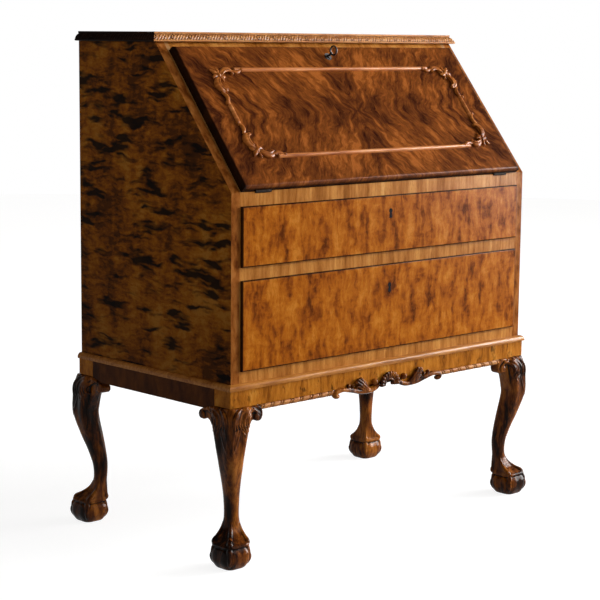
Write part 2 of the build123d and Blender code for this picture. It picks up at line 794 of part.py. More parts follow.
# Hinges
# A leaf is let into the inner face of the fall and one into the writing bed's edge.
# Their knuckles share a pin on the line where the two surfaces meet.
hinge_half = hinge_width / 2
knuckle_length = (hinge_width - hinge_knuckle_gap * 2) / 3
bed_leaves = []
fall_leaves = []
hinge_cutters_bed = []
hinge_cutters_fall = []
for side in (-1, 1):
    centre = side * hinge_centre
    low_x = centre - hinge_half
    high_x = centre + hinge_half
    pin_line_start = (low_x, front_y, writing_height)
    pin_line_end = (high_x, front_y, writing_height)
    bore = rod(pin_line_start, pin_line_end, hinge_pin_radius + hinge_pin_fit)
    middle_low = centre - knuckle_length / 2
    middle_high = centre + knuckle_length / 2
    outer_knuckles = rod(
        pin_line_start, (middle_low - hinge_knuckle_gap, front_y, writing_height), hinge_knuckle_radius
    ) + rod((middle_high + hinge_knuckle_gap, front_y, writing_height), pin_line_end, hinge_knuckle_radius)
    bed_leaf = block(
        low_x, high_x, front_y, front_y + hinge_leaf_length,
        writing_height - hinge_leaf_thickness, writing_height,
    )
    bed_leaf -= block(
        middle_low - hinge_knuckle_gap, middle_high + hinge_knuckle_gap,
        front_y - cut_overrun, front_y + hinge_knuckle_radius + hinge_notch_clearance,
        writing_height - hinge_leaf_thickness - cut_overrun, writing_height + cut_overrun,
    )
    bed_leaf = bed_leaf + outer_knuckles - bore
    bed_leaves.append(bed_leaf)
    bed_leaves.append(rod(pin_line_start, pin_line_end, hinge_pin_radius))
    middle_knuckle = rod((middle_low, 0, 0), (middle_high, 0, 0), hinge_knuckle_radius)
    fall_leaf = slope_block(low_x, high_x, 0, hinge_leaf_length, 0, hinge_leaf_thickness)
    for cut_low, cut_high in (
        (low_x - cut_overrun, middle_low - hinge_knuckle_gap / 2),
        (middle_high + hinge_knuckle_gap / 2, high_x + cut_overrun),
    ):
        fall_leaf -= slope_block(
            cut_low, cut_high, -cut_overrun, hinge_knuckle_radius + hinge_notch_clearance,
            -cut_overrun, hinge_leaf_thickness + cut_overrun,
        )
    fall_leaf = fall_leaf + middle_knuckle
    fall_leaf -= rod((low_x, 0, 0), (high_x, 0, 0), hinge_pin_radius + hinge_pin_fit)
    fall_leaves.append(slope_plane * fall_leaf)
    notch_radius = hinge_knuckle_radius + hinge_notch_clearance
    hinge_cutters_bed.append(
        rod(
            (low_x - hinge_notch_clearance, front_y, writing_height),
            (high_x + hinge_notch_clearance, front_y, writing_height), notch_radius,
        )
        + block(
            low_x, high_x, front_y, front_y + hinge_leaf_length,
            writing_height - hinge_leaf_thickness, writing_height + cut_overrun,
        )
    )
    hinge_cutters_fall.append(
        rod((low_x - hinge_notch_clearance, 0, 0), (high_x + hinge_notch_clearance, 0, 0), notch_radius)
        + slope_block(low_x, high_x, 0, hinge_leaf_length, -cut_overrun, hinge_leaf_thickness)
    )
keep("bed_hinge_leaves", *bed_leaves)
keep("fall_hinge_leaves", *fall_leaves)
for cutter in hinge_cutters_bed:
    fall_rail -= cutter
    writing_bed -= cutter
for cutter in hinge_cutters_fall:
    fall_board -= cutter
keep("writing_bed", writing_bed)
keep("fall_board", slope_plane * fall_board)

# Long drawers
# Each has a lipped front, two sides with a back, a bottom in grooves, a lock and its bolt.
lip_top_share = 0.8


def long_drawer(prefix, opening_low, opening_high, keyhole_drop, rail_above):
    """Make one long drawer and cut the bolt's mortise in the rail above it."""
    front_low = opening_low + slip_clearance
    front_high = opening_high - drawer_front_top_gap
    half_front = inner_lining_x - drawer_gap
    front_back_y = front_y + drawer_front_thickness
    front = block(-half_front, half_front, front_y, front_back_y, front_low, front_high)
    lip_back_y = front_y - slip_clearance
    lip_front_y = lip_back_y - drawer_lip_thickness
    lip = block(
        -half_front - drawer_lip, half_front + drawer_lip, lip_front_y, lip_back_y,
        front_low, front_high + drawer_lip * lip_top_share,
    )
    lip = fillet(lip.faces().sort_by(Axis.Y)[0].edges(), drawer_lip_radius)
    front += lip
    front += block(-half_front, half_front, lip_back_y, front_y, front_low, front_high)
    lock_top = front_high
    keyhole_z = front_high - keyhole_drop
    lock_low = keyhole_z - drawer_lock_below_key
    lock_y = front_back_y - drawer_lock_depth
    half_lock = drawer_lock_width / 2
    front -= block(
        -half_lock, half_lock, lock_y, front_back_y + cut_overrun, lock_low, front_high + cut_overrun
    )
    keyhole = Plane(origin=(0, lip_front_y - cut_overrun, keyhole_z), x_dir=(1, 0, 0), z_dir=(0, 1, 0))
    hole_length = drawer_front_thickness + drawer_lip_thickness + cut_overrun
    hole = Cylinder(keyhole_radius, hole_length, align=(Align.CENTER, Align.CENTER, Align.MIN))
    hole += Pos(0, keyhole_slot_length / 2, hole_length / 2) * Box(
        keyhole_slot_width, keyhole_slot_length, hole_length
    )
    front -= keyhole * hole
    groove_low = front_low + drawer_bottom_lift
    groove_high = groove_low + drawer_bottom_thickness
    half_inner = half_front - drawer_side_thickness
    box_back_y = back_panel_y - drawer_back_clearance
    front -= block(
        -half_inner - bottom_tongue, half_inner + bottom_tongue,
        front_back_y - bottom_tongue, front_back_y + cut_overrun, groove_low, groove_high,
    )
    keep(prefix + "_front", front)
    side_high = front_high - drawer_side_drop
    side = block(half_inner, half_front, front_back_y, box_back_y, front_low, side_high)
    side -= block(
        half_inner - cut_overrun, half_inner + bottom_tongue,
        front_back_y - cut_overrun, box_back_y + cut_overrun, groove_low, groove_high,
    )
    back_low_y = box_back_y - drawer_back_thickness
    back = block(-half_inner, half_inner, back_low_y, box_back_y, groove_high, side_high)
    keep(prefix + "_box", side, mirrored(side), back)
    bottom = block(
        -half_inner - bottom_tongue, half_inner + bottom_tongue,
        front_back_y - bottom_tongue, box_back_y, groove_low, groove_high,
    )
    keep(prefix + "_bottom", bottom)
    bolt_mid_y = front_back_y - drawer_lock_depth / 2
    bolt_y_low = bolt_mid_y - drawer_bolt_thickness / 2
    bolt_y_high = bolt_mid_y + drawer_bolt_thickness / 2
    half_bolt = drawer_bolt_width / 2
    bolt_low_z = lock_top - drawer_bolt_length
    lock = block(-half_lock, half_lock, lock_y, front_back_y, lock_low, lock_top)
    lock -= block(
        -half_bolt - slip_clearance, half_bolt + slip_clearance,
        bolt_y_low - slip_clearance, bolt_y_high + slip_clearance,
        bolt_low_z - slip_clearance, lock_top + cut_overrun,
    )
    lock_hole = Plane(origin=(0, lock_y - cut_overrun, keyhole_z), x_dir=(1, 0, 0), z_dir=(0, 1, 0))
    lock -= lock_hole * Cylinder(
        key_shank_radius + slip_clearance, cut_overrun + drawer_lock_depth - lock_wall,
        align=(Align.CENTER, Align.CENTER, Align.MIN),
    )
    keep(prefix + "_lock", lock)
    bolt = block(-half_bolt, half_bolt, bolt_y_low, bolt_y_high, bolt_low_z, lock_top)
    keep(prefix + "_bolt", bolt)
    return rail_above - block(
        -half_bolt - drawer_gap, half_bolt + drawer_gap,
        bolt_y_low - drawer_gap, bolt_y_high + drawer_gap,
        opening_high - cut_overrun, front_high + drawer_bolt_throw + drawer_gap,
    )


fall_rail = long_drawer("upper_drawer", divider_rail_top, fall_rail_bottom, upper_keyhole_drop, fall_rail)
divider_rail = long_drawer(
    "lower_drawer", bottom_rail_top, divider_rail_bottom, lower_keyhole_drop, divider_rail
)
keep("fall_rail", fall_rail)
keep("divider_rail", divider_rail)

# Drawer runners
# Each carries a drawer's side and guides it with a low fence against the case side.
runner_solids = []
for board_top, running_height in (
    (stand_height + bottom_thickness, bottom_rail_top),
    (divider_rail_bottom + dust_board_thickness, divider_rail_top),
):
    runner = block(
        inner_side_x - runner_width, inner_side_x, rail_back_y, back_panel_y, board_top, running_height
    )
    runner += block(
        inner_lining_x, inner_side_x, rail_back_y, back_panel_y, running_height,
        running_height + runner_thickness,
    )
    runner_solids.extend([runner, mirrored(runner)])
keep("drawer_runners", *runner_solids)

# Interior behind the fall: end panels, shelf, partitions and valance
opening_half = inner_lining_x - end_panel_thickness
shelf_low = writing_height + small_drawer_height
shelf_high = shelf_low + shelf_thickness
partition_solids = []
end_panel = block(opening_half, inner_lining_x, interior_front_y, back_panel_y, writing_height, under_top)
partition_solids.extend([end_panel, mirrored(end_panel)])
bay_width = (opening_half * 2 - partition_thickness * (pigeonhole_count - 1)) / pigeonhole_count
for index in range(1, pigeonhole_count):
    left = -opening_half + index * (bay_width + partition_thickness) - partition_thickness
    partition_solids.append(
        block(
            left, left + partition_thickness, interior_front_y + valance_thickness, back_panel_y,
            shelf_high, under_top,
        )
    )
cell_width = (opening_half * 2 - partition_thickness * (small_drawer_count - 1)) / small_drawer_count
for index in range(1, small_drawer_count):
    left = -opening_half + index * (cell_width + partition_thickness) - partition_thickness
    partition_solids.append(
        block(left, left + partition_thickness, interior_front_y, back_panel_y, writing_height, shelf_low)
    )
keep("interior_partitions", *partition_solids)
keep(
    "interior_shelf",
    block(-opening_half, opening_half, interior_front_y, back_panel_y, shelf_low, shelf_high),
)
valance = block(
    -opening_half, opening_half, interior_front_y, interior_front_y + valance_thickness,
    under_top - valance_height, under_top,
)
arch_rise_share = 0.62
arch_rise = valance_height * arch_rise_share
arch_half = bay_width / 2 - partition_thickness / 2
valance_arch_radius = (arch_half ** 2 + arch_rise ** 2) / (arch_rise * 2)
for index in range(pigeonhole_count):
    bay_centre = -opening_half + bay_width / 2 + index * (bay_width + partition_thickness)
    arch_centre_z = under_top - valance_height + arch_rise - valance_arch_radius
    valance -= rod(
        (bay_centre, interior_front_y - cut_overrun, arch_centre_z),
        (bay_centre, interior_front_y + valance_thickness + cut_overrun, arch_centre_z), valance_arch_radius,
    )
keep("pigeonhole_valance", valance)

# Small drawers of the interior, each made of five boards with a turned knob
small_knob_shares = ((0.0, 0.0), (0.45, 0.0), (0.35, 0.35), (1.0, 0.62), (0.92, 0.9), (0.5, 1.0), (0.0, 1.0))
knob_profile = make_face(
    Polyline(
        *[(small_knob_radius * across, 0, small_knob_length * along) for across, along in small_knob_shares],
        close=True,
    )
)
small_knob = revolve(knob_profile, axis=Axis.Z)
small_names = ("interior_drawer_left", "interior_drawer_centre", "interior_drawer_right")
for index in range(small_drawer_count):
    low_x = -opening_half + index * (cell_width + partition_thickness) + small_drawer_gap
    high_x = low_x + cell_width - small_drawer_gap * 2
    low_z = writing_height + slip_clearance
    high_z = shelf_low - small_drawer_gap
    drawer_back_y = back_panel_y - small_drawer_front_thickness
    front_board_back_y = interior_front_y + small_drawer_front_thickness
    inner_low_x = low_x + small_drawer_wall
    inner_high_x = high_x - small_drawer_wall
    inner_back_y = drawer_back_y - small_drawer_wall
    drawer_boards = [
        block(low_x, high_x, interior_front_y, front_board_back_y, low_z, high_z),
        block(low_x, inner_low_x, front_board_back_y, drawer_back_y, low_z, high_z),
        block(inner_high_x, high_x, front_board_back_y, drawer_back_y, low_z, high_z),
        block(inner_low_x, inner_high_x, inner_back_y, drawer_back_y, low_z, high_z),
        block(inner_low_x, inner_high_x, front_board_back_y, inner_back_y, low_z, low_z + small_drawer_wall),
    ]
    knob_place = Plane(
        origin=((low_x + high_x) / 2, interior_front_y, (low_z + high_z) / 2), z_dir=(0, -1, 0)
    )
    keep(small_names[index], *drawer_boards, knob_place * small_knob)

# Stand: aprons between the leg blocks
apron_end_x = stand_half_width - leg_block_width
front_block_back_y = stand_front_y + leg_block_width
back_block_front_y = back_y - leg_block_width
keep(
    "apron_front",
    block(
        -apron_end_x, apron_end_x, stand_front_y, stand_front_y + apron_thickness,
        apron_bottom_height, stand_height,
    ),
)
keep(
    "apron_back",
    block(-apron_end_x, apron_end_x, back_y - apron_thickness, back_y, apron_bottom_height, stand_height),
)
side_apron_bottom = apron_bottom_height - side_apron_drop
apron_side = block(
    stand_half_width - apron_thickness, stand_half_width, front_block_back_y, back_block_front_y,
    side_apron_bottom, stand_height,
)

# Moulding round the top of the stand
# It hugs the foot of the case on its front and two ends.
moulding_outer = stand_overhang + stand_moulding_reach
stand_round_across_share = 0.3
stand_round_up_share = 0.7
stand_section = (
    Polyline(
        (moulding_outer, 0), (moulding_outer, -stand_moulding_drop), (stand_overhang, -stand_moulding_drop),
        (stand_overhang, 0), (slip_clearance, 0), (slip_clearance, stand_moulding_rise),
        (moulding_outer - stand_moulding_width, stand_moulding_rise),
    )
    + ThreePointArc(
        (moulding_outer - stand_moulding_width, stand_moulding_rise),
        (
            moulding_outer - stand_moulding_width * stand_round_across_share,
            stand_moulding_rise * stand_round_up_share,
        ),
        (moulding_outer, 0),
    )
)
stand_path = Polyline(
    (half_width, back_y, stand_height), (half_width, front_y, stand_height),
    (-half_width, front_y, stand_height), (-half_width, back_y, stand_height),
)
stand_start = Plane(origin=(half_width, back_y, stand_height), x_dir=(1, 0, 0), z_dir=(0, -1, 0))
keep(
    "stand_moulding",
    sweep(stand_start * make_face(stand_section), path=stand_path, transition=Transition.RIGHT),
)

# Rope moulding under the front apron
# A round stick with pairs of slanting grooves, from the centre piece to the knee brackets.
scroll_end_share = 0.42
rope_let_in_share = 0.75
scroll_end_radius = centre_drop * scroll_end_share
rope_outer_end = apron_end_x - knee_bracket_reach - slip_clearance
rope_inner_end = centre_half_width + scroll_end_radius
rope_y = stand_front_y + rope_radius * rope_let_in_share
rope_z = apron_bottom_height - rope_radius
rope = rod((rope_inner_end, rope_y, rope_z), (rope_outer_end, rope_y, rope_z), rope_radius)
groove_count = int((rope_outer_end - rope_inner_end) // rope_pitch)
groove_cutters = []
for index in range(groove_count):
    pair_x = rope_inner_end + rope_pitch / 2 + rope_pitch * index
    for offset_x in (-rope_groove_spacing / 2, rope_groove_spacing / 2):
        cutter = Box(rope_groove_width, rope_radius, rope_radius * 2 + cut_overrun)
        groove_cutters.append(
            Pos(pair_x + offset_x, rope_y - rope_radius * rope_groove_depth_share, rope_z)
            * Rot(0, rope_groove_lean, 0)
            * cutter
        )
for cutter in groove_cutters:
    rope -= cutter
keep("rope_moulding", rope, mirrored(rope))

# Legs
# A cabriole leg is a smooth run of sections that lean out along the diagonal of the case corner.
# Each row gives a height, the outer and inner reach along the diagonal, the half width across it,
# and how square the section is: a circle has a fullness of 0.71 and a square has 1.
leg_shares = [
    (1.0, 0.41, 2.35, 1.42, 0.52),
    (0.90, 0.82, 1.92, 1.50, 0.54),
    (0.81, 0.88, 1.62, 1.38, 0.56),
    (0.72, 0.77, 1.54, 1.19, 0.59),
    (0.62, 0.33, 1.77, 1.00, 0.62),
    (0.53, -0.19, 2.00, 0.83, 0.65),
    (0.44, -0.69, 2.21, 0.70, 0.67),
    (0.35, -0.98, 2.26, 0.64, 0.69),
    (0.28, -0.96, 2.19, 0.67, 0.68),
    (0.24, -0.75, 2.13, 0.77, 0.67),
    (0.20, -0.29, 2.08, 1.00, 0.65),
    (0.17, 0.38, 2.08, 1.27, 0.64),
    (0.145, 0.80, 2.08, 1.44, 0.64),
]


def leg_section(row):
    """One closed section of the leg, in the leg's own frame."""
    height_share, outer_share, inner_share, width_share, fullness = row
    outer = knee_reach * outer_share
    inner = -knee_reach * inner_share
    half_width_here = knee_reach * width_share
    centre = (outer + inner) / 2
    half_depth = (outer - inner) / 2
    points = []
    for corner in range(8):
        angle = math.radians(45.0 * corner)
        share = 1.0 if corner % 2 == 0 else fullness / math.cos(math.radians(45.0))
        points.append(
            (centre + half_depth * math.cos(angle) * share, half_width_here * math.sin(angle) * share)
        )
    face = make_face(Spline(*points, periodic=True))
    return Pos(0, 0, apron_bottom_height * height_share) * face


# Claws
# Each row gives a joint's reach from the ball's middle, its height above the floor and its thickness.
claw_shares = (
    (0.73, 1.18, 0.60), (0.91, 1.00, 1.10), (1.00, 0.68, 1.00), (0.94, 0.34, 0.85), (0.76, 0.09, 0.55),
)


def claw(angle):
    """One claw: from the paw over its knuckles and down the ball, in tapering joints."""
    joints = []
    for reach_share, height_share, girth_share in claw_shares:
        place = Vector(foot_ball_radius * reach_share, 0, 0).rotate(Axis.Z, angle)
        place += Vector(-foot_set_back, 0, foot_ball_height * height_share)
        joints.append((place, claw_radius * girth_share))
    solid = None
    for (start, start_radius), (end, end_radius) in zip(joints, joints[1:]):
        length = (end - start).length
        joint = Plane(origin=start, z_dir=end - start) * Cone(
            start_radius, end_radius, length, align=(Align.CENTER, Align.CENTER, Align.MIN)
        )
        solid = joint if solid is None else solid + joint
    for place, radius in joints[1:-1]:
        solid += Pos(*place) * Sphere(radius)
    return solid


# The ball is turned, widest a little above its middle, and flat where it stands.
ball_widest_share = 0.55
ball_shoulder_share = 0.92
ball_cheek_share = 0.91
ball_profile = (
    Line((0, 0), (foot_pad_radius, 0))
    + Spline(
        (foot_pad_radius, 0),
        (foot_ball_radius * ball_cheek_share, foot_ball_height * ball_widest_share / 2),
        (foot_ball_radius, foot_ball_height * ball_widest_share),
        (foot_ball_radius * ball_shoulder_share, foot_ball_height),
    )
    + Line((foot_ball_radius * ball_shoulder_share, foot_ball_height), (0, foot_ball_height))
    + Line((0, foot_ball_height), (0, 0))
)
foot_ball = Pos(-foot_set_back, 0, 0) * revolve(Plane.XZ * make_face(ball_profile), axis=Axis.Z)
carved_leg = loft([leg_section(row) for row in reversed(leg_shares)])
carved_leg += foot_ball
for claw_angle in (0, 90, 180, 270):
    carved_leg += claw(claw_angle)
carved_leg -= block(
    -case_width, case_width, -case_width, case_width, -foot_ball_radius, 0
)
front_leg_frame = Plane(origin=(half_width, front_y, 0), x_dir=(1, -1, 0), z_dir=(0, 0, 1))
front_leg = front_leg_frame * carved_leg
back_leg = mirror(front_leg, about=Plane.XZ)
front_leg += block(
    apron_end_x, stand_half_width, stand_front_y, front_block_back_y, apron_bottom_height, stand_height
)
back_leg += block(
    apron_end_x, stand_half_width, back_block_front_y, back_y, apron_bottom_height, stand_height
)
keep("leg_front_right", front_leg)
keep("leg_front_left", mirrored(front_leg))
keep("leg_back_right", back_leg)
keep("leg_back_left", mirrored(back_leg))

# The side aprons reach lower than the blocks and are cut to fit round the knees.
apron_side -= front_leg
apron_side -= back_leg
apron_side = apron_side.solids().sort_by(SortBy.VOLUME)[-1]
keep("apron_right", apron_side)
keep("apron_left", mirrored(apron_side))

# Knee brackets
# Each fills the angle between a knee and an apron and ends in a scroll.
bracket_scroll_share = 1.25
bracket_shoulder_share = 0.9
bracket_cheek_share = 0.6
bracket_waist_shares = (0.3, 0.55)
bracket_toe_share = 0.4
bracket_foot_share = 1.1
bracket_scroll_down = scroll_radius * bracket_scroll_share
bracket_root = leg_block_width / 3
bracket_foot_drop = knee_bracket_drop * bracket_foot_share


def bracket_body(reach):
    """A bracket lying flat, with its root at the block's edge and its scroll at the given reach."""
    shoulder = reach * bracket_shoulder_share
    scroll_along = reach - scroll_radius
    outline = (
        Line((-bracket_root, 0), (shoulder, 0))
        + ThreePointArc(
            (shoulder, 0),
            (reach, -bracket_scroll_down * bracket_cheek_share),
            (scroll_along, -bracket_scroll_down),
        )
        + Spline(
            (scroll_along, -bracket_scroll_down),
            (scroll_along * bracket_waist_shares[0], -knee_bracket_drop * bracket_waist_shares[1]),
            (-bracket_root * bracket_toe_share, -knee_bracket_drop),
            (-bracket_root, -bracket_foot_drop),
        )
        + Line((-bracket_root, -bracket_foot_drop), (-bracket_root, 0))
    )
    body = extrude(make_face(outline), amount=knee_bracket_thickness)
    scroll_width = knee_bracket_thickness + scroll_boss_rise
    return body + Pos(scroll_along, -bracket_scroll_down, -scroll_boss_rise) * Cylinder(
        scroll_radius, scroll_width, align=(Align.CENTER, Align.CENTER, Align.MIN)
    )


front_face_inset = scroll_boss_rise
bracket_front = Plane(
    origin=(apron_end_x, stand_front_y + front_face_inset, apron_bottom_height),
    x_dir=(-1, 0, 0), z_dir=(0, 1, 0),
)
bracket_back = Plane(
    origin=(apron_end_x, back_y - front_face_inset - knee_bracket_thickness, apron_bottom_height),
    x_dir=(-1, 0, 0), z_dir=(0, 1, 0),
)
bracket_side_front = Plane(
    origin=(stand_half_width - front_face_inset, front_block_back_y, side_apron_bottom),
    x_dir=(0, 1, 0), z_dir=(-1, 0, 0),
)
bracket_side_back = Plane(
    origin=(stand_half_width - front_face_inset, back_block_front_y, side_apron_bottom),
    x_dir=(0, -1, 0), z_dir=(-1, 0, 0),
)
bracket_solids = []
for place, leg, reach in (
    (bracket_front, front_leg, knee_bracket_reach), (bracket_side_front, front_leg, side_bracket_reach),
    (bracket_back, back_leg, knee_bracket_reach), (bracket_side_back, back_leg, side_bracket_reach),
):
    shape = place * bracket_body(reach)
    if shape.bounding_box().max.Z > place.origin.Z + slip_clearance:
        shape = place * mirror(bracket_body(reach), about=Plane.XZ)
    shape = shape - leg
    largest = shape.solids().sort_by(SortBy.VOLUME)[-1]
    bracket_solids.extend([largest, mirrored(largest)])
keep("knee_brackets", *bracket_solids)

# Carved centre piece of the front apron
# Two leaf-tipped scrolls rise to a ribbed arch, with a ball at each foot of the arch.
scroll_band_shares = (
    (0.98, -0.45), (0.90, -0.05), (0.74, 0.12), (0.55, -0.30), (0.36, -0.75), (0.24, -0.45), (0.15, 0.15),
)
leaf_band_shares = ((0.62, 0.75), (0.52, 0.45), (0.42, -0.10), (0.34, -0.55))
scroll_breadth_shares = (0.45, 0.55)
leaf_breadth_shares = (0.35, 0.75)
carving_front_share = 0.6
carving_back_share = 0.5
scroll_end_place_shares = (0.98, -0.45)
arch_ball_place_shares = (0.255, 0.02)
arch_radius_share = 0.95
arch_rib_share = 0.26
arch_drop_share = 0.15
arch_depth_share = 0.45
arch_forward_share = 0.2
arch_bore_share = 0.92
rib_count = 9


centre_face_plane = Plane(
    origin=(0, stand_front_y, apron_bottom_height), x_dir=(1, 0, 0), z_dir=(0, -1, 0)
)
carving_front = centre_depth * carving_front_share
carving_back = centre_depth * carving_back_share
arch_radius = centre_drop * arch_radius_share
arch_rib_radius = centre_drop * arch_rib_share
arch_centre_drop = centre_drop * arch_drop_share
arch_forward = centre_depth * arch_forward_share
scroll_band = curved_band(
    [(centre_half_width * across, centre_drop * up) for across, up in scroll_band_shares],
    *[centre_drop * share for share in scroll_breadth_shares],
)
leaf_band = curved_band(
    [(centre_half_width * across, centre_drop * up) for across, up in leaf_band_shares],
    *[centre_drop * share for share in leaf_breadth_shares],
)
centre_solid = extrude(scroll_band, amount=carving_front)
centre_solid += extrude(scroll_band, amount=-carving_back)
centre_solid += extrude(leaf_band, amount=carving_front)
centre_solid += Pos(
    centre_half_width * scroll_end_place_shares[0], centre_drop * scroll_end_place_shares[1], -carving_back
) * Cylinder(scroll_end_radius, carving_front + carving_back, align=(Align.CENTER, Align.CENTER, Align.MIN))
centre_solid += Pos(
    centre_half_width * arch_ball_place_shares[0], centre_drop * arch_ball_place_shares[1], arch_forward
) * Sphere(scroll_end_radius)
centre_whole = centre_solid + mirror(centre_solid, about=Plane.YZ)
arch_ring = Cylinder(arch_radius + arch_rib_radius, centre_depth * arch_depth_share)
arch_ring -= Cylinder(arch_radius * arch_bore_share, centre_depth)
arch_ring -= Pos(0, -centre_half_width, 0) * Box(
    centre_half_width * 2, centre_half_width * 2, centre_depth * 2
)
centre_whole += Pos(0, -arch_centre_drop, arch_forward) * arch_ring
rib_spread = 180.0 / rib_count
for index in range(rib_count):
    rib_angle = rib_spread * index + rib_spread / 2
    rib_place = Pos(0, -arch_centre_drop, arch_forward) * Rot(0, 0, rib_angle) * Pos(arch_radius, 0, 0)
    centre_whole += rib_place * Sphere(arch_rib_radius)
centre_piece = centre_face_plane * centre_whole - parts["apron_front"]
keep("centre_carving", centre_piece.solids().sort_by(SortBy.VOLUME)[-1])

# Cleats and screws that hold the case down on the stand
screw_line_share = 0.8
cleat_half_length = case_width * cleat_share
screw_line_x = cleat_half_length * screw_line_share
cleat_solids = []
screw_solids = []
cleat_front_y = stand_front_y + apron_thickness
cleat_low = stand_height - cleat_height
screw_y_front = cleat_front_y + cleat_height / 2
screw_y_back = back_y - apron_thickness - cleat_height / 2
case_bottom = parts["case_bottom"]
cleat_back_y = back_y - apron_thickness - cleat_height
for cleat_y_low, screw_y in ((cleat_front_y, screw_y_front), (cleat_back_y, screw_y_back)):
    cleat = block(
        -cleat_half_length, cleat_half_length, cleat_y_low, cleat_y_low + cleat_height,
        cleat_low, stand_height,
    )
    for screw_x in (-screw_line_x, 0, screw_line_x):
        screw = rod(
            (screw_x, screw_y, cleat_low), (screw_x, screw_y, cleat_low + screw_length), screw_radius
        )
        screw += rod(
            (screw_x, screw_y, cleat_low), (screw_x, screw_y, cleat_low + screw_head_height),
            screw_head_radius,
        )
        cleat -= screw
        case_bottom -= screw
        screw_solids.append(screw)
    cleat_solids.append(cleat)
parts["case_bottom"] = case_bottom
keep("stand_cleats", *cleat_solids)
keep("case_screws", *screw_solids)

os.makedirs("parts", exist_ok=True)
for name, shape in parts.items():
    export_step(shape, f"parts/{name}.step")
    print(name, len(shape.solids()), round(shape.volume))
print(len(parts), "sub-parts; fall travel", round(fall_travel, 3), "degrees")
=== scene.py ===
# %% [markdown]
# A slant-front desk on a carved stand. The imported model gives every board, rail, lock and hinge its
# place; this file gives them their polish, and replaces the plainer legs and mouldings by carved ones.
# Working on top of a fixed frame keeps all sizes true, so a carving only has to follow its own piece.

import json
import math

import bmesh
import bpy
import numpy as np
from mathutils import Matrix, Vector
from mathutils.bvhtree import BVHTree


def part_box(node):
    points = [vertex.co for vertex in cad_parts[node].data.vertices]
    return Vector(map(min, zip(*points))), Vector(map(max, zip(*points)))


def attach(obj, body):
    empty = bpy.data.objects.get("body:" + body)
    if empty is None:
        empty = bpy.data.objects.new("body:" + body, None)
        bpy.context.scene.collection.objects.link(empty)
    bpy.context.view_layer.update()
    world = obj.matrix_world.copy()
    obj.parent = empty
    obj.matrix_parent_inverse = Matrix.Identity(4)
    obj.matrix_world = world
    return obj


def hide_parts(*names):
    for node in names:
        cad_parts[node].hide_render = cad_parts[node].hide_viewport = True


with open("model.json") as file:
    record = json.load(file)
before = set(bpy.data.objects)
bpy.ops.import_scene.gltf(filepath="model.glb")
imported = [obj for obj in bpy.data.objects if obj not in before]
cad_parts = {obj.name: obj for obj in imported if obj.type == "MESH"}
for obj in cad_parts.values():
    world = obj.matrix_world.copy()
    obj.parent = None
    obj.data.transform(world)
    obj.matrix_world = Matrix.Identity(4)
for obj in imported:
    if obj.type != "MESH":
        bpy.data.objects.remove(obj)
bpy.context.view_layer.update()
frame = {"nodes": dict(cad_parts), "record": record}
nodes = frame["nodes"]
mm = 0.001

# %% [markdown]
# The photograph looks along the desk's diagonal from about the height of its top, tilted down a little.
# The camera's place, turn and lens were solved from the straight edges of the case, so the picture can be
# laid over the render.

# %% Camera
camera_place = Vector((-2659.5, -2731.0, 1046.8)) * mm
camera_yaw = math.radians(43.98)
camera_pitch = math.radians(-8.58)
camera_roll = math.radians(0.555)
picture_width = 600
focal_length_in_pixels = 1726.16
sensor_width = 36.0

forward = Vector((
    math.sin(camera_yaw) * math.cos(camera_pitch),
    math.cos(camera_yaw) * math.cos(camera_pitch),
    math.sin(camera_pitch),
))
level_right = Vector((math.cos(camera_yaw), -math.sin(camera_yaw), 0))
level_up = level_right.cross(forward)
camera_right = level_right * math.cos(camera_roll) + level_up * math.sin(camera_roll)
camera_up = level_up * math.cos(camera_roll) - level_right * math.sin(camera_roll)
camera_turn = Matrix((camera_right, camera_up, -forward)).transposed()

camera = bpy.data.objects.new("camera", bpy.data.cameras.new("camera"))
camera.data.sensor_width = sensor_width
camera.data.lens = focal_length_in_pixels / picture_width * sensor_width
camera.matrix_world = Matrix.Translation(camera_place) @ camera_turn.to_4x4()
bpy.context.scene.collection.objects.link(camera)
bpy.context.scene.camera = camera
print("lens:", round(camera.data.lens, 1), "mm")

# %% [markdown]
# A few small helpers serve every finish. One turns a printed colour such as #7f4419 into the linear light
# that the renderer works in, one adds a node with its settings and links in one go, and one starts an
# empty material. The last makes a mesh from points in millimetres, the unit that a joiner works in.

# %% Small helpers for nodes, colours and meshes


def linear(hex_colour):
    """The linear colour (r, g, b, 1) of an sRGB hex value."""
    channels = [int(hex_colour[index:index + 2], 16) / 255 for index in (1, 3, 5)]
    return tuple(c / 12.92 if c <= 0.04045 else ((c + 0.055) / 1.055) ** 2.4 for c in channels) + (1.0,)


def add(tree, kind, links=None, stops=None, **settings):
    """Add one node with its settings; links gives each socket a value or another node's output."""
    made = tree.nodes.new(kind)
    for name, value in settings.items():
        setattr(made, name, value)
    for socket, value in (links or {}).items():
        if isinstance(value, bpy.types.NodeSocket):
            tree.links.new(value, made.inputs[socket])
        else:
            made.inputs[socket].default_value = value
    if stops:
        elements = made.color_ramp.elements
        while len(elements) < len(stops):
            elements.new(0.5)
        for element, (position, colour) in zip(elements, stops):
            element.position = position
            element.color = linear(colour)
    return made


def new_material(name):
    """A node material with no nodes yet; returns the material and its tree."""
    material = bpy.data.materials.new(name)
    material.use_nodes = True
    material.node_tree.nodes.clear()
    return material, material.node_tree


def mesh_object(name, points, faces, smooth=True):
    """A mesh object from points in millimetres in the desk's own frame."""
    mesh = bpy.data.meshes.new(name)
    mesh.from_pydata([tuple(point) for point in np.asarray(points, float) * mm], [], faces)
    mesh.update()
    if smooth:
        mesh.shade_smooth()
    made = bpy.data.objects.new(name, mesh)
    bpy.context.scene.collection.objects.link(made)
    return made


print("middle grey in linear light:", round(linear("#808080")[0], 3))

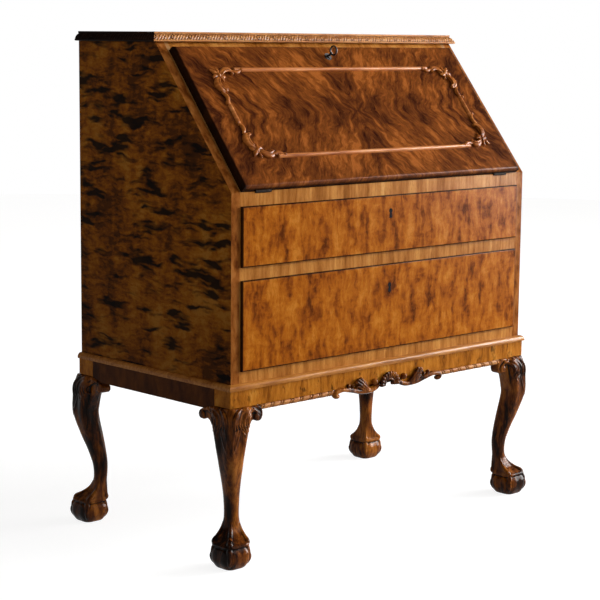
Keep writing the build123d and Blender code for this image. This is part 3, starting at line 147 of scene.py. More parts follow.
# %% [markdown]
# The desk stands on a matt white floor inside a round paper backdrop. Both could be paper under strong
# lamps, but their light would bleach the wood. So they glow only for the rays that come from the camera,
# from a polished face or through glass, and the floor still catches the desk's shadow.

# %% Studio floor and backdrop
studio_radius = 8.0
backdrop_height = 3.2
ring_steps = 64
floor_lift = 0.87


def studio_ring(height):
    """The round edge of the studio at a height in metres, as points in millimetres."""
    return [
        (studio_radius * math.cos(turn) / mm, studio_radius * math.sin(turn) / mm, height / mm)
        for turn in (math.tau * step / ring_steps for step in range(ring_steps))
    ]


def shown_share(tree):
    """1 where the camera, a polished face or glass looks at the studio, and 0 for the light that it gives."""
    ray = add(tree, "ShaderNodeLightPath").outputs
    seen_or_mirrored = add(
        tree, "ShaderNodeMath", {0: ray["Is Camera Ray"], 1: ray["Is Glossy Ray"]}, operation="MAXIMUM"
    ).outputs[0]
    return add(
        tree, "ShaderNodeMath", {0: seen_or_mirrored, 1: ray["Is Transmission Ray"]}, operation="MAXIMUM"
    ).outputs[0]


floor = mesh_object("studio_floor", studio_ring(0), [list(range(ring_steps))], False)
wall_faces = [
    (step, (step + 1) % ring_steps, ring_steps + (step + 1) % ring_steps, ring_steps + step)
    for step in range(ring_steps)
]
backdrop = mesh_object("studio_backdrop", studio_ring(0) + studio_ring(backdrop_height), wall_faces)

floor_material, tree = new_material("matt white studio floor")
lift = add(tree, "ShaderNodeMath", {0: shown_share(tree), 1: floor_lift}, operation="MULTIPLY")
floor_shader = add(tree, "ShaderNodeBsdfDiffuse", {"Color": linear("#9a9a9a")})
floor_glow = add(tree, "ShaderNodeEmission", {"Color": linear("#ffffff"), "Strength": lift.outputs[0]})
floor_sum = add(tree, "ShaderNodeAddShader", {0: floor_shader.outputs[0], 1: floor_glow.outputs[0]})
add(tree, "ShaderNodeOutputMaterial", {"Surface": floor_sum.outputs[0]})
floor.data.materials.append(floor_material)

backdrop_material, tree = new_material("white paper backdrop")
backdrop_glow = add(tree, "ShaderNodeEmission", {"Color": linear("#ffffff"), "Strength": 1.0})
backdrop_clear = add(tree, "ShaderNodeBsdfTransparent")
backdrop_mix = add(
    tree, "ShaderNodeMixShader",
    {0: shown_share(tree), 1: backdrop_clear.outputs[0], 2: backdrop_glow.outputs[0]},
)
add(tree, "ShaderNodeOutputMaterial", {"Surface": backdrop_mix.outputs[0]})
backdrop.data.materials.append(backdrop_material)
print("studio:", studio_radius * 2, "m wide,", backdrop_height, "m high")

# %% [markdown]
# Polished wood shows its lights as highlights, so a large soft box stands at the front right, where the
# bright lines on the rounded edges say it was. A window's broad, soft light comes from the same side. The
# left end of the desk only gets the light of the room and of one weak lamp.

# %% Light of the room and lamps
# Places and sizes are in metres, powers in watts and angles in degrees
room_strength = 0.16
key_place = (4.5, -2.1, 1.7)
key_target = (0.1, -0.2, 0.75)
key_size = (2.6, 3.0)
key_power = 440
sheen_power = 1900
fill_place = (-4.6, -0.9, 1.5)
fill_target = (-0.4, 0.0, 0.9)
fill_size = (0.9, 0.9)
fill_power = 0.65
fill_spread = 18
window_from = Vector((1.0, -1.5, 1.25))
window_strength = 0.8
window_width = 30

world = bpy.data.worlds.new("room light")
bpy.context.scene.world = world
world.use_nodes = True
room = world.node_tree.nodes["Background"].inputs
room["Color"].default_value = linear("#fffaf2")
room["Strength"].default_value = room_strength


def shining_along(direction):
    """The turn that makes a lamp shine along a direction, which is its own -Z."""
    return direction.to_track_quat("-Z", "Y").to_matrix().to_4x4()


def soft_box(name, place, target, size, power):
    """A rectangular area lamp at a place in metres, turned towards a target."""
    lamp_data = bpy.data.lights.new(name, "AREA")
    lamp_data.shape = "RECTANGLE"
    lamp_data.size, lamp_data.size_y = size
    lamp_data.energy = power
    lamp = bpy.data.objects.new(name, lamp_data)
    place = Vector(place)
    lamp.matrix_world = Matrix.Translation(place) @ shining_along(Vector(target) - place)
    bpy.context.scene.collection.objects.link(lamp)
    return lamp


key_lamp = soft_box("key soft box", key_place, key_target, key_size, key_power)
# The polish mirrors the bare lamp, which is brighter than the light that it lays on the wood, so a second
# soft box at the same place adds only to the highlights
lamp_sheen = soft_box("key soft box in the polish", key_place, key_target, key_size, sheen_power)
lamp_sheen.visible_diffuse = False
# A weak lamp with a grid opens the shade on the left side of the case
fill_lamp = soft_box("fill soft box with a grid", fill_place, fill_target, fill_size, fill_power)
fill_lamp.data.spread = math.radians(fill_spread)
fill_lamp.visible_glossy = False
sun_data = bpy.data.lights.new("window light", "SUN")
sun_data.energy = window_strength
sun_data.angle = math.radians(window_width)
window_light = bpy.data.objects.new("window light", sun_data)
window_light.matrix_world = shining_along(-window_from)
bpy.context.scene.collection.objects.link(window_light)
bpy.context.scene.view_settings.view_transform = "Standard"
print("lamps:", ", ".join(lamp.name for lamp in (key_lamp, lamp_sheen, fill_lamp, window_light)))

# %% [markdown]
# Veneer is a thin sheet of figured wood glued on plainer boards, then filled and polished with shellac
# until it has a hard, clear gloss. Its figure is drawn here as a few layers of noise, each stretched to
# the real size of one feature in millimetres: the flame's streaks, the mottle across them and the broad
# light and shade of the log. The layers share one bent grain, so they flow together as real wood does.
# Real pores are thinner than these, which are as coarse as they need to be to show.

# %% Polished veneer
polish_ior = 1.5
pore_width = 0.9
pore_length = 11.0
pore_depth = 0.25
pore_dark = 0.36
pore_relief = 0.1
pore_strength = 0.12
# A noise has its middle at one half and seldom strays further from it than a quarter
noise_middle = 0.5
noise_stray = 0.25
# How many finer noises are laid over each kind of noise, and how strong they are
layer_detail = (4.0, 0.55)
pore_detail = (2.0, 0.55)
mark_detail = (2.0, 0.6)
banding_detail = (4.0, 0.6)
banding_low = 0.32
banding_range = 0.36
# The Y of a face's normal where the banding starts to show, and where it shows in full
banding_facing = (-0.4, -0.6)
# Painted shade of the narrow gap round the fall and the drawer fronts: its colour, and its greatest share
gap_shade_tone = "#120803"
gap_shade_share = 0.92
# The soft parts of the figure take the polish less well than the hard ones
shine_spread = 0.2
smooth_share = 0.85
rough_share = 1.2


def veneer(
    name, colours, layers, lay=(0, 0, 0), match=None, turn=(0, 0, 0), bend_size=120, bend_reach=10,
    spread=0.2, marks=None, edge=None, roughness=0.17, gloss=0.05, pore_axis=2, hollow_shade=None, gap_shade=None,
):
    """French-polished wood; each layer is its sizes in mm along the turned board's axes, and its weight.

    lay turns the desk's axes to the board's, match is the point where mirrored sheets of veneer meet, and
    turn then sets the way of the grain. marks is the sizes of dark marks, the noise values where they
    start and are full, and their darkness. edge is the colours and sizes of the banding on faces that look
    forward. The second-last argument is the colour of the painted shade in the hollows of a carving, and
    the last paints the shade in the gap round a board: it holds the board's middle and half sizes, and how
    far from its edge that painted shade is full and where it ends.
    """
    material, tree = new_material(name)
    place = add(tree, "ShaderNodeTexCoord")
    in_mm = add(
        tree, "ShaderNodeVectorMath", {0: place.outputs["Object"], 1: (1 / mm,) * 3}, operation="MULTIPLY"
    ).outputs[0]
    board = add(
        tree, "ShaderNodeVectorRotate", {"Vector": in_mm, "Rotation": tuple(map(math.radians, lay))},
        rotation_type="EULER_XYZ",
    ).outputs[0]
    if match:
        from_joint = add(tree, "ShaderNodeVectorMath", {0: board, 1: match}, operation="SUBTRACT")
        board = add(tree, "ShaderNodeVectorMath", {0: from_joint.outputs[0]}, operation="ABSOLUTE").outputs[0]
    turned = add(
        tree, "ShaderNodeVectorRotate", {"Vector": board, "Rotation": tuple(map(math.radians, turn))},
        rotation_type="EULER_XYZ",
    ).outputs[0]
    bend_noise = add(tree, "ShaderNodeTexNoise", {"Vector": turned, "Scale": 1 / bend_size, "Detail": 3.0})
    bend = add(
        tree, "ShaderNodeVectorMath", {0: bend_noise.outputs["Color"], 1: (noise_middle,) * 3},
        operation="SUBTRACT",
    )
    grain = add(
        tree, "ShaderNodeVectorMath", {0: bend.outputs[0], 1: (bend_reach / noise_stray,) * 3, 2: turned},
        operation="MULTIPLY_ADD",
    )
    pore_sizes = [pore_width] * 3
    pore_sizes[pore_axis] = pore_length
    wanted = {index: (sizes, *layer_detail) for index, (sizes, weight) in enumerate(layers)}
    wanted["pores"] = (pore_sizes, *pore_detail)
    if marks:
        wanted["marks"] = (marks[0], *mark_detail)
    if edge:
        wanted["banding"] = (edge[1], *banding_detail)
    noises = {}
    for use, (sizes, detail, fineness) in wanted.items():
        stretched = add(
            tree, "ShaderNodeVectorMath", {0: grain.outputs[0], 1: tuple(1 / size for size in sizes)},
            operation="MULTIPLY",
        )
        noises[use] = add(
            tree, "ShaderNodeTexNoise",
            {"Vector": stretched.outputs[0], "Scale": 1.0, "Detail": detail, "Roughness": fineness},
        ).outputs["Fac"]

    figure = noise_middle * (1 - sum(weight for sizes, weight in layers))
    for index, (sizes, weight) in enumerate(layers):
        figure = add(
            tree, "ShaderNodeMath", {0: noises[index], 1: weight, 2: figure}, operation="MULTIPLY_ADD"
        ).outputs[0]
    spread_out = add(
        tree, "ShaderNodeMapRange",
        {"Value": figure, "From Min": noise_middle - spread, "From Max": noise_middle + spread},
    )
    colour = add(
        tree, "ShaderNodeValToRGB", {"Fac": spread_out.outputs[0]},
        stops=[(index / (len(colours) - 1), tone) for index, tone in enumerate(colours)],
    ).outputs[0]
    shades = [(noises["pores"], pore_dark, noise_middle, 1 - pore_depth)]
    if marks:
        sizes, start, full, darkness = marks
        shades.append((noises["marks"], full, start, darkness))
    for shading, dark_below, clear_above, darkness in shades:
        shade = add(
            tree, "ShaderNodeMapRange",
            {"Value": shading, "From Min": dark_below, "From Max": clear_above, "To Min": darkness},
        )
        colour = add(
            tree, "ShaderNodeMix", {"Factor": 1.0, 6: colour, 7: shade.outputs[0]},
            data_type="RGBA", blend_type="MULTIPLY",
        ).outputs[2]
    if edge:
        tones = edge[0]
        banding = add(
            tree, "ShaderNodeValToRGB", {"Fac": noises["banding"]},
            stops=[
                (banding_low + banding_range * index / (len(tones) - 1), tone)
                for index, tone in enumerate(tones)
            ],
        )
        facing = add(tree, "ShaderNodeSeparateXYZ", {0: place.outputs["Normal"]})
        start, full = banding_facing
        forward_share = add(
            tree, "ShaderNodeMapRange", {"Value": facing.outputs["Y"], "From Min": start, "From Max": full}
        )
        colour = add(
            tree, "ShaderNodeMix", {0: forward_share.outputs[0], 6: colour, 7: banding.outputs[0]},
            data_type="RGBA",
        ).outputs[2]
    # Painted shade of the narrow gap round the board, full near its edge and fading out inward
    if gap_shade:
        middle, half_sizes, gap_shade_full, gap_shade_end = gap_shade
        from_middle = add(tree, "ShaderNodeVectorMath", {0: in_mm, 1: middle}, operation="SUBTRACT")
        either_way = add(tree, "ShaderNodeVectorMath", {0: from_middle.outputs[0]}, operation="ABSOLUTE")
        inside = add(
            tree, "ShaderNodeVectorMath", {0: half_sizes, 1: either_way.outputs[0]}, operation="SUBTRACT"
        )
        apart = add(tree, "ShaderNodeSeparateXYZ", {0: inside.outputs[0]})
        to_edge = add(
            tree, "ShaderNodeMath", {0: apart.outputs["X"], 1: apart.outputs["Z"]}, operation="MINIMUM"
        )
        gap_shade_amount = add(
            tree, "ShaderNodeMapRange",
            {"Value": to_edge.outputs[0], "From Min": gap_shade_end, "From Max": gap_shade_full, "To Max": gap_shade_share},
        )
        colour = add(
            tree, "ShaderNodeMix", {0: gap_shade_amount.outputs[0], 6: colour, 7: linear(gap_shade_tone)}, data_type="RGBA"
        ).outputs[2]
    # Painted shade in the hollows of a carving, as deep as the stored hollow is
    if hollow_shade:
        hollow = add(tree, "ShaderNodeAttribute", attribute_name="hollow", attribute_type="GEOMETRY")
        colour = add(
            tree, "ShaderNodeMix", {0: hollow.outputs["Fac"], 6: colour, 7: linear(hollow_shade)}, data_type="RGBA"
        ).outputs[2]
    shine = add(
        tree, "ShaderNodeMapRange",
        {"Value": figure, "From Min": noise_middle - shine_spread, "From Max": noise_middle + shine_spread,
         "To Min": roughness * smooth_share, "To Max": roughness * rough_share},
    )
    pore_bump = add(
        tree, "ShaderNodeBump",
        {"Height": noises["pores"], "Strength": pore_strength, "Distance": pore_relief * mm},
    )
    shader = add(
        tree, "ShaderNodeBsdfPrincipled",
        {
            "Base Color": colour, "Roughness": shine.outputs[0], "IOR": polish_ior,
            "Normal": pore_bump.outputs[0], "Specular IOR Level": gloss,
        },
    )
    add(tree, "ShaderNodeOutputMaterial", {"Surface": shader.outputs[0]})
    return material


print("pores:", pore_width, "mm wide,", pore_length, "mm long")

# %% [markdown]
# The fall has four sheets of flame mahogany, matched about its middle like the pages of an open book. The
# drawers have an upright curl, the rails a straight-grained crossbanding, and the ends a mottled walnut
# with dark marks. Round the fall and each drawer front runs a narrow gap, which lies in shade. It is too
# thin to show at this size, so painted shade along the edge of the finish, as wide as it needs to be,
# stands for it.

# %% Veneers of the case
# The fall's slope in degrees, and the point where its four sheets meet, on the axes of the board laid level
slope_angle = 51.147
slope_middle = (0, 607.5, 600.0)
# Corner 0 of a bounding box is its lowest one, and corner 6 its highest
fall_corner = Vector(nodes["fall_board"].bound_box[0]) / mm
# The fall's painted gap shade shows at its sides and foot alone, so it reaches far past its top
past_top = 1000.0
# How far from the edge the painted shade of the gap is full, and where it ends, in millimetres
fall_gap_shade = (3.5, 7.5)
drawer_gap_shade = (1.7, 3.0)
flame_fall = veneer(
    "french-polished flame mahogany veneer, four sheets matched",
    ["#2d1308", "#4b240f", "#663414", "#7f4419", "#a05a24"],
    [((12, 46, 54), 0.55), ((4, 16, 14), 0.24), ((32, 90, 100), 0.55), ((150, 150, 150), 0.5)],
    lay=(-slope_angle, 0, 0), match=slope_middle, turn=(0, 0, 36), bend_size=60, bend_reach=12, spread=0.17,
    pore_axis=1, gloss=0.03,
    gap_shade=((0, 0, fall_corner.z + past_top), (-fall_corner.x, past_top, past_top), *fall_gap_shade),
)
flame_drawers = {}
for drawer in ("upper drawer", "lower drawer"):
    corners = [Vector(corner) / mm for corner in nodes[drawer.replace(" ", "_") + "_front"].bound_box]
    front_middle = (corners[0] + corners[6]) / 2
    flame_drawers[drawer] = veneer(
        "french-polished curl mahogany veneer, " + drawer,
        ["#592803", "#84410a", "#a1560e", "#b26616", "#c17623"],
        [((13, 34, 42), 0.5), ((36, 60, 70), 0.55), ((5, 14, 14), 0.12), ((20, 14, 10), 0.22)],
        bend_size=44, bend_reach=7, spread=0.15, gloss=0.027,
        gap_shade=(front_middle, corners[6] - front_middle, *drawer_gap_shade),
    )
striped_rail = veneer(
    "french-polished straight-grained walnut crossbanding",
    ["#6f3c10", "#955a20", "#b07030", "#c4853e", "#d49a50"],
    [((9, 30, 120), 0.35), ((36, 60, 200), 0.65), ((2, 10, 50), 0.12)],
    bend_size=90, bend_reach=4, spread=0.18, gloss=0.036,
)
mottled_side = veneer(
    "french-polished mottled walnut veneer",
    ["#4c2605", "#6e3a0a", "#854a0e", "#915614", "#9c6422"],
    [((60, 60, 110), 0.6), ((30, 26, 9), 0.4), ((6, 9, 4), 0.2), ((200, 200, 200), 0.5)],
    bend_size=60, bend_reach=6, spread=0.12, gloss=0.012, marks=((60, 84, 19), 0.5, 0.36, 0.06),
    edge=(["#5f2e0d", "#84491b", "#995b27", "#ab6c33"], (14, 20, 34)),
)
apron_veneer = veneer(
    "french-polished walnut veneer with dark streaks",
    ["#7d4410", "#9c5c18", "#b06a1e", "#bd7726", "#ca8a38"],
    [((30, 40, 90), 0.5), ((9, 20, 60), 0.45), ((2.4, 8, 30), 0.25)],
    bend_size=80, bend_reach=8, spread=0.14, marks=((13, 16, 26), 0.4, 0.28, 0.3), gloss=0.024,
)
# The ends of the stand: walnut like the front apron's, painted darker as shade
end_apron_in_painted_shade = veneer(
    "walnut veneer of the ends in painted shade",
    ["#371906", "#4a240a", "#582e0d", "#673911"],
    [((30, 40, 90), 0.5), ((9, 20, 60), 0.45)], bend_size=80, bend_reach=8, spread=0.14, gloss=0.018,
)
print("lower corner of the fall:", [round(value, 1) for value in fall_corner])

# %% [markdown]
# The solid woods are planed or carved, then stained and polished. A moulding's grain runs along it, and a
# carving gets painted shade in its hollows, which is what makes its relief readable. Inside, where
# nobody looks twice, the woods are plainer: birch for the pigeonholes, oak for the drawers' linings and
# pine behind. They are waxed or oiled, so they are duller than the veneers.

# %% Solid woods
carving_grain = [((40, 6, 6), 0.6), ((200, 60, 60), 0.5)]
moulding_grain = [((80, 6, 6), 0.6), ((200, 60, 60), 0.5)]
end_moulding_grain = [((6, 80, 6), 0.6), ((60, 200, 60), 0.5)]
top_wood = veneer(
    "french-polished mahogany board", ["#3c1d0f", "#5a2e18", "#6d3b20", "#7d4727"],
    [((160, 12, 12), 0.6), ((40, 4, 4), 0.3), ((200, 80, 60), 0.5)], bend_size=200, bend_reach=8,
    pore_axis=0, gloss=0.072,
)
# Each carving below darkens its hollows with painted shade of the colour given last
carved_wood = veneer(
    "stained and polished carved mahogany", ["#1e0d04", "#45210a", "#6c3811", "#8c4e18", "#a66425"],
    [((9, 9, 60), 0.4), ((2.4, 2.4, 20), 0.2), ((50, 50, 120), 0.75)], bend_size=60, bend_reach=4,
    spread=0.12, roughness=0.13, gloss=0.05, hollow_shade="#050200",
)
pale_carved_wood = veneer(
    "polished carved walnut moulding", ["#8c552b", "#b27240", "#c98a50", "#dca166"], carving_grain,
    bend_reach=3, roughness=0.3, gloss=0.018, pore_axis=0, hollow_shade="#4a2612",
)
spray_wood = veneer(
    "polished carved mahogany sprays", ["#6b3413", "#95511f", "#ae652b", "#c27a3a"], carving_grain,
    bend_reach=3, roughness=0.22, gloss=0.048, pore_axis=0, hollow_shade="#1c0b04",
)
bead_wood = veneer(
    "polished mahogany moulding", ["#8a4a22", "#b56a34", "#cd8044", "#dd9558"], moulding_grain,
    bend_reach=3, roughness=0.2, pore_axis=0, gloss=0.084,
)
stand_wood = veneer(
    "polished walnut moulding", ["#7d4619", "#a26428", "#b97836", "#cb8d48"], moulding_grain,
    bend_reach=3, roughness=0.18, pore_axis=0, gloss=0.078,
)
# The ends of the top moulding, painted black as shade
end_moulding_in_painted_shade = veneer(
    "moulding of the ends in painted shade", ["#0d0603", "#170b05", "#221108", "#2e180b"], end_moulding_grain,
    bend_reach=3, roughness=0.3, pore_axis=1, gloss=0.018,
)

solid_woods = (
    top_wood, carved_wood, pale_carved_wood, spray_wood, bead_wood, stand_wood, end_moulding_in_painted_shade,
)
print("solid woods:", ", ".join(wood.name for wood in solid_woods))

# %% Secondary woods
inner_wood = veneer(
    "waxed satin birch joinery", ["#8a5e34", "#a4733f", "#b5824a", "#c39156"],
    [((120, 12, 8), 0.6), ((30, 3, 3), 0.3), ((140, 60, 60), 0.5)], bend_reach=5, roughness=0.42,
    spread=0.28, gloss=0.08, pore_axis=0,
)
drawer_wood = veneer(
    "plain oak drawer lining", ["#94703f", "#a98450", "#b8935c", "#c5a26b"],
    [((9, 140, 9), 0.6), ((3, 40, 3), 0.3), ((50, 160, 60), 0.5)], bend_reach=4, roughness=0.6,
    spread=0.28, gloss=0.05, pore_axis=1,
)
secondary_wood = veneer(
    "oiled pine secondary wood", ["#6d4a28", "#82592f", "#93683a", "#a37847"],
    [((180, 14, 10), 0.6), ((40, 4, 4), 0.3), ((160, 60, 60), 0.5)], bend_reach=6, roughness=0.6,
    spread=0.28, gloss=0.05, pore_axis=0,
)
studio_finishes = (floor_material, backdrop_material)
print("wood finishes:", len([finish for finish in bpy.data.materials if finish not in studio_finishes]))

# %% [markdown]
# The locks and stays are cast and rolled brass that has dulled with age, the hinges are brass in painted
# shade, nearly black, and the key is iron blacked by hand. A metal's colour is in its reflection, so the
# base colour is that of the reflection, and small uneven patches of tarnish keep it from looking new.

# %% Metals
tarnish_dull = 0.36
tarnish_bright = 0.62
tarnish_roughening = 1.5
dent_depth = 0.2
dent_strength = 0.15


def old_metal(name, bright, dull, roughness, patch_size):
    """A metal with tarnish in patches of the given size in millimetres."""
    material, tree = new_material(name)
    place = add(tree, "ShaderNodeTexCoord")
    patches = add(
        tree, "ShaderNodeTexNoise",
        {"Vector": place.outputs["Object"], "Scale": 1 / (patch_size * mm), "Detail": 5.0, "Roughness": 0.65},
    ).outputs["Fac"]
    tone = add(
        tree, "ShaderNodeValToRGB", {"Fac": patches}, stops=[(tarnish_dull, dull), (tarnish_bright, bright)]
    )
    shine = add(
        tree, "ShaderNodeMapRange",
        {"Value": patches, "From Min": noise_middle - shine_spread, "From Max": noise_middle + shine_spread,
         "To Min": roughness * tarnish_roughening, "To Max": roughness},
    )
    dents = add(
        tree, "ShaderNodeBump", {"Height": patches, "Strength": dent_strength, "Distance": dent_depth * mm}
    )
    shader = add(
        tree, "ShaderNodeBsdfPrincipled",
        {"Base Color": tone.outputs[0], "Metallic": 1.0, "Roughness": shine.outputs[0],
         "Normal": dents.outputs[0]},
    )
    add(tree, "ShaderNodeOutputMaterial", {"Surface": shader.outputs[0]})
    return material


aged_brass = old_metal("aged cast brass", "#a8854c", "#5c4423", 0.36, 6)
black_iron = old_metal("hand-blacked wrought iron", "#4a4542", "#1d1a19", 0.4, 4)
# The hinges under the fall are painted nearly black, as shade
hinge_brass_in_painted_shade = old_metal("brass butt hinge in painted shade", "#1d140b", "#0e0804", 0.75, 5)
bright_steel = old_metal("drawn bright steel", "#a9a7a2", "#75716b", 0.35, 3)
metals = (aged_brass, black_iron, hinge_brass_in_painted_shade, bright_steel)
print("metals:", ", ".join(metal.name for metal in metals))

# %% [markdown]
# The imported record names a finish for each of its pieces, so one loop can dress them all. A few pieces
# differ from the others of their kind: the ends of the stand are painted darker than its front as shade,
# and the brass under the fall is painted nearly black as shade.

# %% Finishes of the imported pieces
slot_materials = {
    "veneer_fall": flame_fall, "veneer_drawer": flame_drawers["upper drawer"], "veneer_rail": striped_rail,
    "veneer_side": mottled_side, "polished_top": top_wood, "apron_veneer": apron_veneer,
    "carved_dark": carved_wood, "bead_wood": bead_wood, "inner_wood": inner_wood,
    "drawer_wood": drawer_wood, "lining_paper": secondary_wood, "steel_dark": black_iron,
    "brass": aged_brass, "screw_steel": bright_steel,
}
own_finishes = {
    "lower_drawer_front": flame_drawers["lower drawer"],
    "apron_left": end_apron_in_painted_shade, "apron_right": end_apron_in_painted_shade, "stand_moulding": stand_wood,
    "bed_hinge_leaves": hinge_brass_in_painted_shade, "fall_hinge_leaves": hinge_brass_in_painted_shade, "key_escutcheon": black_iron,
}
for part in frame["record"]["subparts"]:
    finish = own_finishes.get(part["node"], slot_materials[part["material_slot"]])
    nodes[part["node"]].data.materials.clear()
    nodes[part["node"]].data.materials.append(finish)

# %% [markdown]
# The legs are carved from solid mahogany: a cabriole leg has a bulging knee with a leaf, a thin ankle
# and a paw that grips a ball. A carver starts from the sawn leg and cuts the leaf and claws into it.
# Here the sawn form is a run of sections, and ribs, claws and ball are closed shapes that overlap it.
# A voxel remesh then joins them into one skin, with the soft hollows that a gouge would leave.

# %% Closed shapes for carving


def joined(shapes):
    """One list of points and one of faces from several (points, faces) shapes."""
    all_points = []
    all_faces = []
    for points, faces in shapes:
        start = len(all_points)
        all_points.extend(tuple(point) for point in points)
        all_faces.extend(tuple(start + index for index in face) for face in faces)
    return all_points, all_faces


def skin(rings):
    """A closed shape through a list of rings that have the same number of points."""
    sides = len(rings[0])
    points = [point for ring_points in rings for point in ring_points]
    faces = [
        (row * sides + side, row * sides + (side + 1) % sides,
         (row + 1) * sides + (side + 1) % sides, (row + 1) * sides + side)
        for row in range(len(rings) - 1) for side in range(sides)
    ]
    faces.append(tuple(reversed(range(sides))))
    faces.append(tuple((len(rings) - 1) * sides + side for side in range(sides)))
    return points, faces


def rod_along(path, radii, sides, flatness=1.0, facing=(0, 1, 0)):
    """A rod along a path; flatness thins it along the facing direction under 1, and deepens it over 1."""
    path = np.asarray(path, float)
    radii = np.interp(np.linspace(0, 1, len(path)), np.linspace(0, 1, len(radii)), radii)
    along = np.gradient(path, axis=0)
    along /= np.linalg.norm(along, axis=1)[:, None]
    rings = []
    for place, direction, radius in zip(path, along, radii):
        out = np.asarray(facing, float) - direction * np.dot(facing, direction)
        out /= max(np.linalg.norm(out), 1e-6)
        across = np.cross(direction, out)
        rings.append([
            place + radius * (math.cos(turn) * across + math.sin(turn) * out * flatness)
            for turn in np.linspace(0, math.tau, sides, endpoint=False)
        ])
    return skin(rings)


def ball_at(centre, radii, rows=16, sides=24):
    """A ball or an egg shape with a radius along each axis."""
    rings = []
    for rise in np.linspace(-math.pi / 2, math.pi / 2, rows + 1)[1:-1]:
        rings.append([
            np.asarray(centre, float) + np.asarray(radii, float) * (
                math.cos(rise) * math.cos(turn), math.cos(rise) * math.sin(turn), math.sin(rise)
            )
            for turn in np.linspace(0, math.tau, sides, endpoint=False)
        ])
    return skin(rings)


def curve_through(points, steps):
    """A smooth path through a few points, with some steps from each to the next."""
    points = np.asarray(points, float)
    slopes = np.gradient(points, axis=0)
    path = []
    for index in range(len(points) - 1):
        start, end = points[index], points[index + 1]
        for share in np.linspace(0, 1, steps, endpoint=False):
            path.append(
                start * (1 + 2 * share) * (1 - share) ** 2 + slopes[index] * share * (1 - share) ** 2
                + end * share ** 2 * (3 - 2 * share) + slopes[index + 1] * share ** 2 * (share - 1)
            )
    path.append(points[-1])
    return np.asarray(path)


print("points of a ball:", len(ball_at((0, 0, 0), (1, 1, 1))[0]))

# %% [markdown]
# A carving's hollows get painted shade, nearly black where they are deepest. A point lies in a hollow
# when its neighbours stand further out than it does. So the skin is softened a few steps, and how far that
# lifts a point is kept on the mesh for the finish to paint as shade. Few steps find the grooves of a fine
# gouge, and many find the broad valleys between knee, bracket and claws.

# %% Depth of the hollows
carving_hollows = ((12, 0.5), (60, 3.6))


def mark_hollows(made, scales=carving_hollows):
    """Store how far each point lies in a hollow, from 0 to 1.

    A scale is a number of softening steps, and the depth in millimetres that counts as a full hollow.
    """
    mesh = made.data
    count = len(mesh.vertices)
    places = np.empty(count * 3)
    normals = np.empty(count * 3)
    ends = np.empty(len(mesh.edges) * 2, int)
    mesh.vertices.foreach_get("co", places)
    mesh.vertices.foreach_get("normal", normals)
    mesh.edges.foreach_get("vertices", ends)
    places = places.reshape(-1, 3)
    first, second = ends.reshape(-1, 2).T
    neighbours = np.bincount(ends, minlength=count)
    softened = places.copy()
    depth = np.zeros(count)
    for step in range(1, scales[-1][0] + 1):
        sums = [
            np.bincount(first, places_along[second], count) + np.bincount(second, places_along[first], count)
            for places_along in softened.T
        ]
        softened = np.stack(sums, axis=1) / np.maximum(neighbours, 1)[:, None]
        for steps, full_depth in scales:
            if step == steps:
                sunk = ((softened - places) * normals.reshape(-1, 3)).sum(axis=1)
                depth = np.maximum(depth, sunk / (full_depth * mm))
    hollow = mesh.attributes.new("hollow", "FLOAT", "POINT")
    hollow.data.foreach_set("value", np.clip(depth, 0, 1).astype(np.float32))


print("hollow scales, steps and mm:", carving_hollows)

# %% [markdown]
# The shapes of a carving overlap like lumps of clay. The remesh keeps their common outside as small cubes
# and joins it into one skin, and a few smoothing steps take off the cubes' edges. It needs only closed
# shapes, so a rib or a claw can be moved without mending the surface round it.

# %% Shapes joined into one carved skin
relax_steps = 3


def carved(name, shapes, voxel, smoothing=relax_steps):
    """Join closed shapes into one skin of a voxel size in millimetres, soften it and mark its hollows."""
    made = mesh_object(name, *joined(shapes))
    remesh = made.modifiers.new("join", "REMESH")
    remesh.mode = "VOXEL"
    remesh.voxel_size = voxel * mm
    soften = made.modifiers.new("soften", "SMOOTH")
    soften.iterations = smoothing
    mesh = bpy.data.meshes.new_from_object(made.evaluated_get(bpy.context.evaluated_depsgraph_get()))
    made.modifiers.clear()
    made.data = mesh
    mesh.name = name
    mesh.shade_smooth()
    mark_hollows(made)
    return made


print("smoothing steps:", relax_steps)

# %% [markdown]
# A cabriole leg is sawn from a square blank along the same curve on two faces, and then rounded with a
# spokeshave. Its curve is easiest to read as sections: each row is one height, how far the leg reaches out
# and in along the corner's diagonal, half its width, and how square it is there. Near the foot the
# sections have four low ridges, out of which the claws grow.

# %% The sawn leg
case_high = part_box("case_side_right")[1]
half_width = case_high.x / mm
half_depth = case_high.y / mm
apron_low, apron_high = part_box("apron_front")
apron_bottom = apron_low.z / mm
stand_top = apron_high.z / mm
stand_reach = -apron_low.y / mm - half_depth
block_reach = half_width - apron_high.x / mm
diagonal = math.sqrt(0.5)

# Height, reach out and in along the diagonal, half width across it, and squareness (0.71 is round)
leg_sections = [
    (38.0, 8, -36, 22, 0.70), (43.5, 16, -46, 32, 0.66), (48.5, 21, -51, 36, 0.64),
    (56.0, 10, -50, 31, 0.64), (66.0, -7, -50, 24, 0.65), (78.0, -18, -51, 18.5, 0.67),
    (92.0, -23, -52.5, 16, 0.68), (108.0, -24, -54, 15.2, 0.69), (126.0, -22, -54.5, 15.8, 0.68),
    (144.0, -16.5, -53, 16.8, 0.67), (164.0, -9, -50, 18.8, 0.66), (184.0, 0, -46.5, 21.2, 0.64),
    (204.0, 8, -42.5, 24, 0.62), (224.0, 15.5, -38.5, 26.6, 0.60), (242.0, 20.0, -36, 29.5, 0.58),
    (258.0, 21.0, -38, 32, 0.56), (276.0, 21.0, -41, 35, 0.55), (294.0, 19.5, -46, 36.5, 0.54),
    (310.0, 16, -52, 37, 0.54), (326.5, 10, -56, 35, 0.54),
]
leg_rows = 140
leg_sides = 72
talon_rise = 4.0
talon_breadth = 0.32
talon_start = 96.0
talon_blend = 40.0


def to_desk(points):
    """Corner places (out to the right, out to the front, up) as places in the desk's frame."""
    points = np.asarray(points, float).reshape(-1, 3)
    return points * (1, -1, 1) + (half_width, -half_depth, 0)


